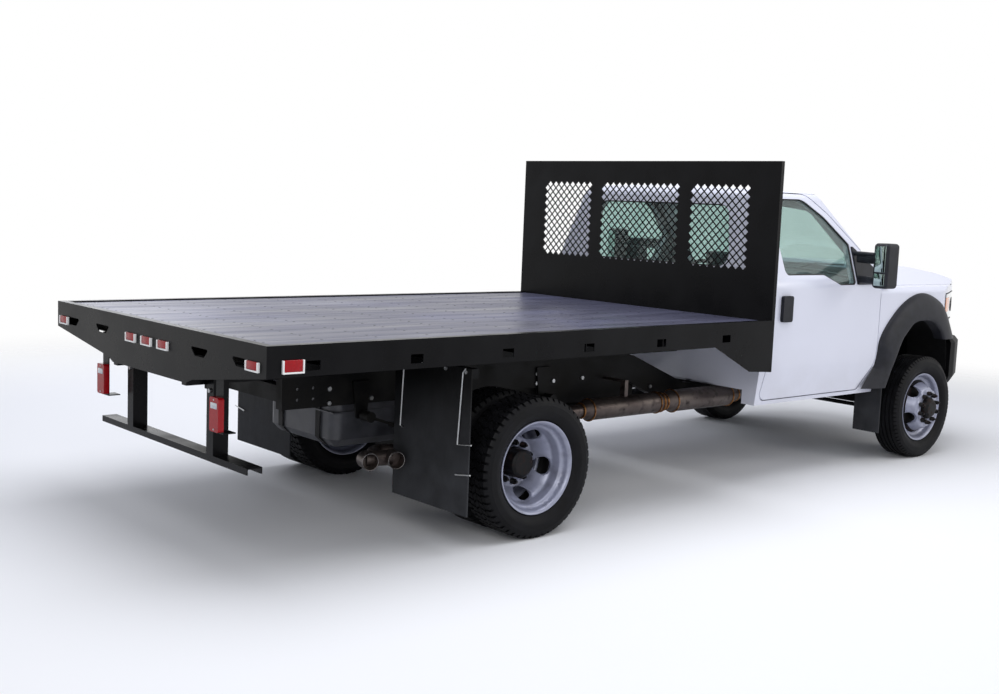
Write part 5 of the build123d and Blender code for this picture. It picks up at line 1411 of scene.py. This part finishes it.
# Threads are too fine to show through the panes, so the weave is drawn as ribs 31 mm apart. A wave
# texture repeats every tau / 20 metres at scale 1.
RIB_SPACING_MM = 10 * math.pi
WAVE_SCALE = 1000 * (math.tau / 20) / RIB_SPACING_MM
weave = []
for direction in ("X", "Y", "Z"):
    weave.append(add_node(tree, "ShaderNodeTexWave", {"bands_direction": direction}, {
        "Vector": place, "Scale": WAVE_SCALE, "Distortion": 0.4,
    }).outputs["Fac"])
threads = add_node(tree, "ShaderNodeMath", {"operation": "ADD"}, {0: weave[0], 1: weave[1]}).outputs[0]
threads = add_node(tree, "ShaderNodeMath", {"operation": "ADD"}, {0: threads, 1: weave[2]}).outputs[0]
coat_surface(tree, {
    "Base Color": blend_colours(tree, ramp(tree, threads, 0.6, 2.4), "#55565A", "#6B6C71"),
    "Roughness": 0.9,
    "Sheen Weight": 0.3,
    "Normal": bump(tree, threads, 0.5),
})

CUSHION_CUTS = 22
CUSHION_SQUARENESS = 7
CHANNEL_WIDTH = 0.07
CHANNEL_DEPTH = 0.008


def cushion(low, high, lean, crown, channels, top_axis):
    """A crowned cushion between two corners, leaning back with height, with channels across Y."""
    work = bmesh.new()
    bmesh.ops.create_cube(work, size=2)
    bmesh.ops.subdivide_edges(work, edges=work.edges, cuts=CUSHION_CUTS, use_grid_fill=True)
    low = Vector(low)
    high = Vector(high)
    middle = (low + high) / 2
    half = (high - low) / 2
    for vertex in work.verts:
        unit = vertex.co.copy()
        size = sum(abs(c) ** CUSHION_SQUARENESS for c in unit) ** (1 / CUSHION_SQUARENESS)
        unit = unit / size
        others = [axis for axis in range(3) if axis != top_axis]
        swell = (1 - unit[others[0]] ** 2) * (1 - unit[others[1]] ** 2)
        place = Vector([middle[axis] + unit[axis] * half[axis] for axis in range(3)])
        if unit[top_axis] > 0.5:
            place[top_axis] += crown * (swell - 1)
            for channel in channels:
                gap = abs(unit.y - channel) / CHANNEL_WIDTH
                place[top_axis] -= CHANNEL_DEPTH * math.exp(-gap * gap) * min(1, 6 * swell)
        place.x -= lean * (place.z - low.z)
        vertex.co = place
    vertices = [vertex.co.copy() for vertex in work.verts]
    faces = [[vertex.index for vertex in face.verts] for face in work.faces]
    work.free()
    return vertices, faces


BACK_LEAN = 0.1
PAD_CROWN = 0.02
PAD_CHANNELS = (-0.45, 0, 0.45)
BASE_BLOCKS = (
    # X from the seat's back, half the width, Z from the seat's foot, and the rounding of the edges
    ((0.08, 0.60), 0.74, (0, 0.2), 0.02), ((0.07, 0.65), 0.755, (0.2, 0.3), 0.03),
)
PAD_ROWS = (
    # X from the seat's back, Z from the seat's foot, lean, and the axis that the crowned face looks along
    ((0.19, 0.675), (0.3, 0.44), 0, 2), ((0.09, 0.235), (0.33, 0.74), BACK_LEAN, 0),
)
THIRDS = (
    # Y of a third's two sides, and its name
    (-0.755, -0.145, "right"), (-0.14, 0.14, "middle"), (0.145, 0.755, "left"),
)
HEAD_X = (0.115, 0.205)
HEAD_HALF = 0.14
HEAD_FOOT = 0.755
HEAD_CROWN = 0.012
HEAD_MIDDLES = (-0.45, 0.45)
POST_OFFSETS = (-0.05, 0.05)
POST_RADIUS = 0.006
POST_ENDS = (
    # X from the seat's back, and Z from the seat's foot
    (0.12, 0.70), (0.1, 0.80),
)
seat_low, seat_high = (Vector(corner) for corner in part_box("bench_seat"))
x0 = seat_low.x
z0 = seat_low.z
base = [
    rounded_block((x0 + x[0], -half, z0 + z[0]), (x0 + x[1], half, z0 + z[1]), rounding)
    for x, half, z, rounding in BASE_BLOCKS
]
attach(built("seat_base", base, dash_plastic), "chassis", "seat_cloth", "bench_seat")
for start, end, word in THIRDS:
    pads = []
    for x, z, lean, top_axis in PAD_ROWS:
        low = (x0 + x[0], start, z0 + z[0])
        high = (x0 + x[1], end, z0 + z[1])
        pads.append(cushion(low, high, lean, PAD_CROWN, PAD_CHANNELS, top_axis))
    if word != "middle":
        middle_y = (start + end) / 2
        low = (x0 + HEAD_X[0], middle_y - HEAD_HALF, z0 + HEAD_FOOT)
        high = (x0 + HEAD_X[1], middle_y + HEAD_HALF, seat_high.z - 0.002)
        pads.append(cushion(low, high, BACK_LEAN, HEAD_CROWN, (), 0))
    pad = built(f"seat_pads_{word}", pads, seat_cloth, 180)
    attach(pad, "chassis", "seat_cloth", "bench_seat")
posts = []
for middle_y in HEAD_MIDDLES:
    for offset in POST_OFFSETS:
        posts.append(tube([(x0 + x, middle_y + offset, z0 + z) for x, z in POST_ENDS], POST_RADIUS, 8))
attach(built("head_restraint_posts", posts, zinc_plate), "chassis", "seat_cloth")
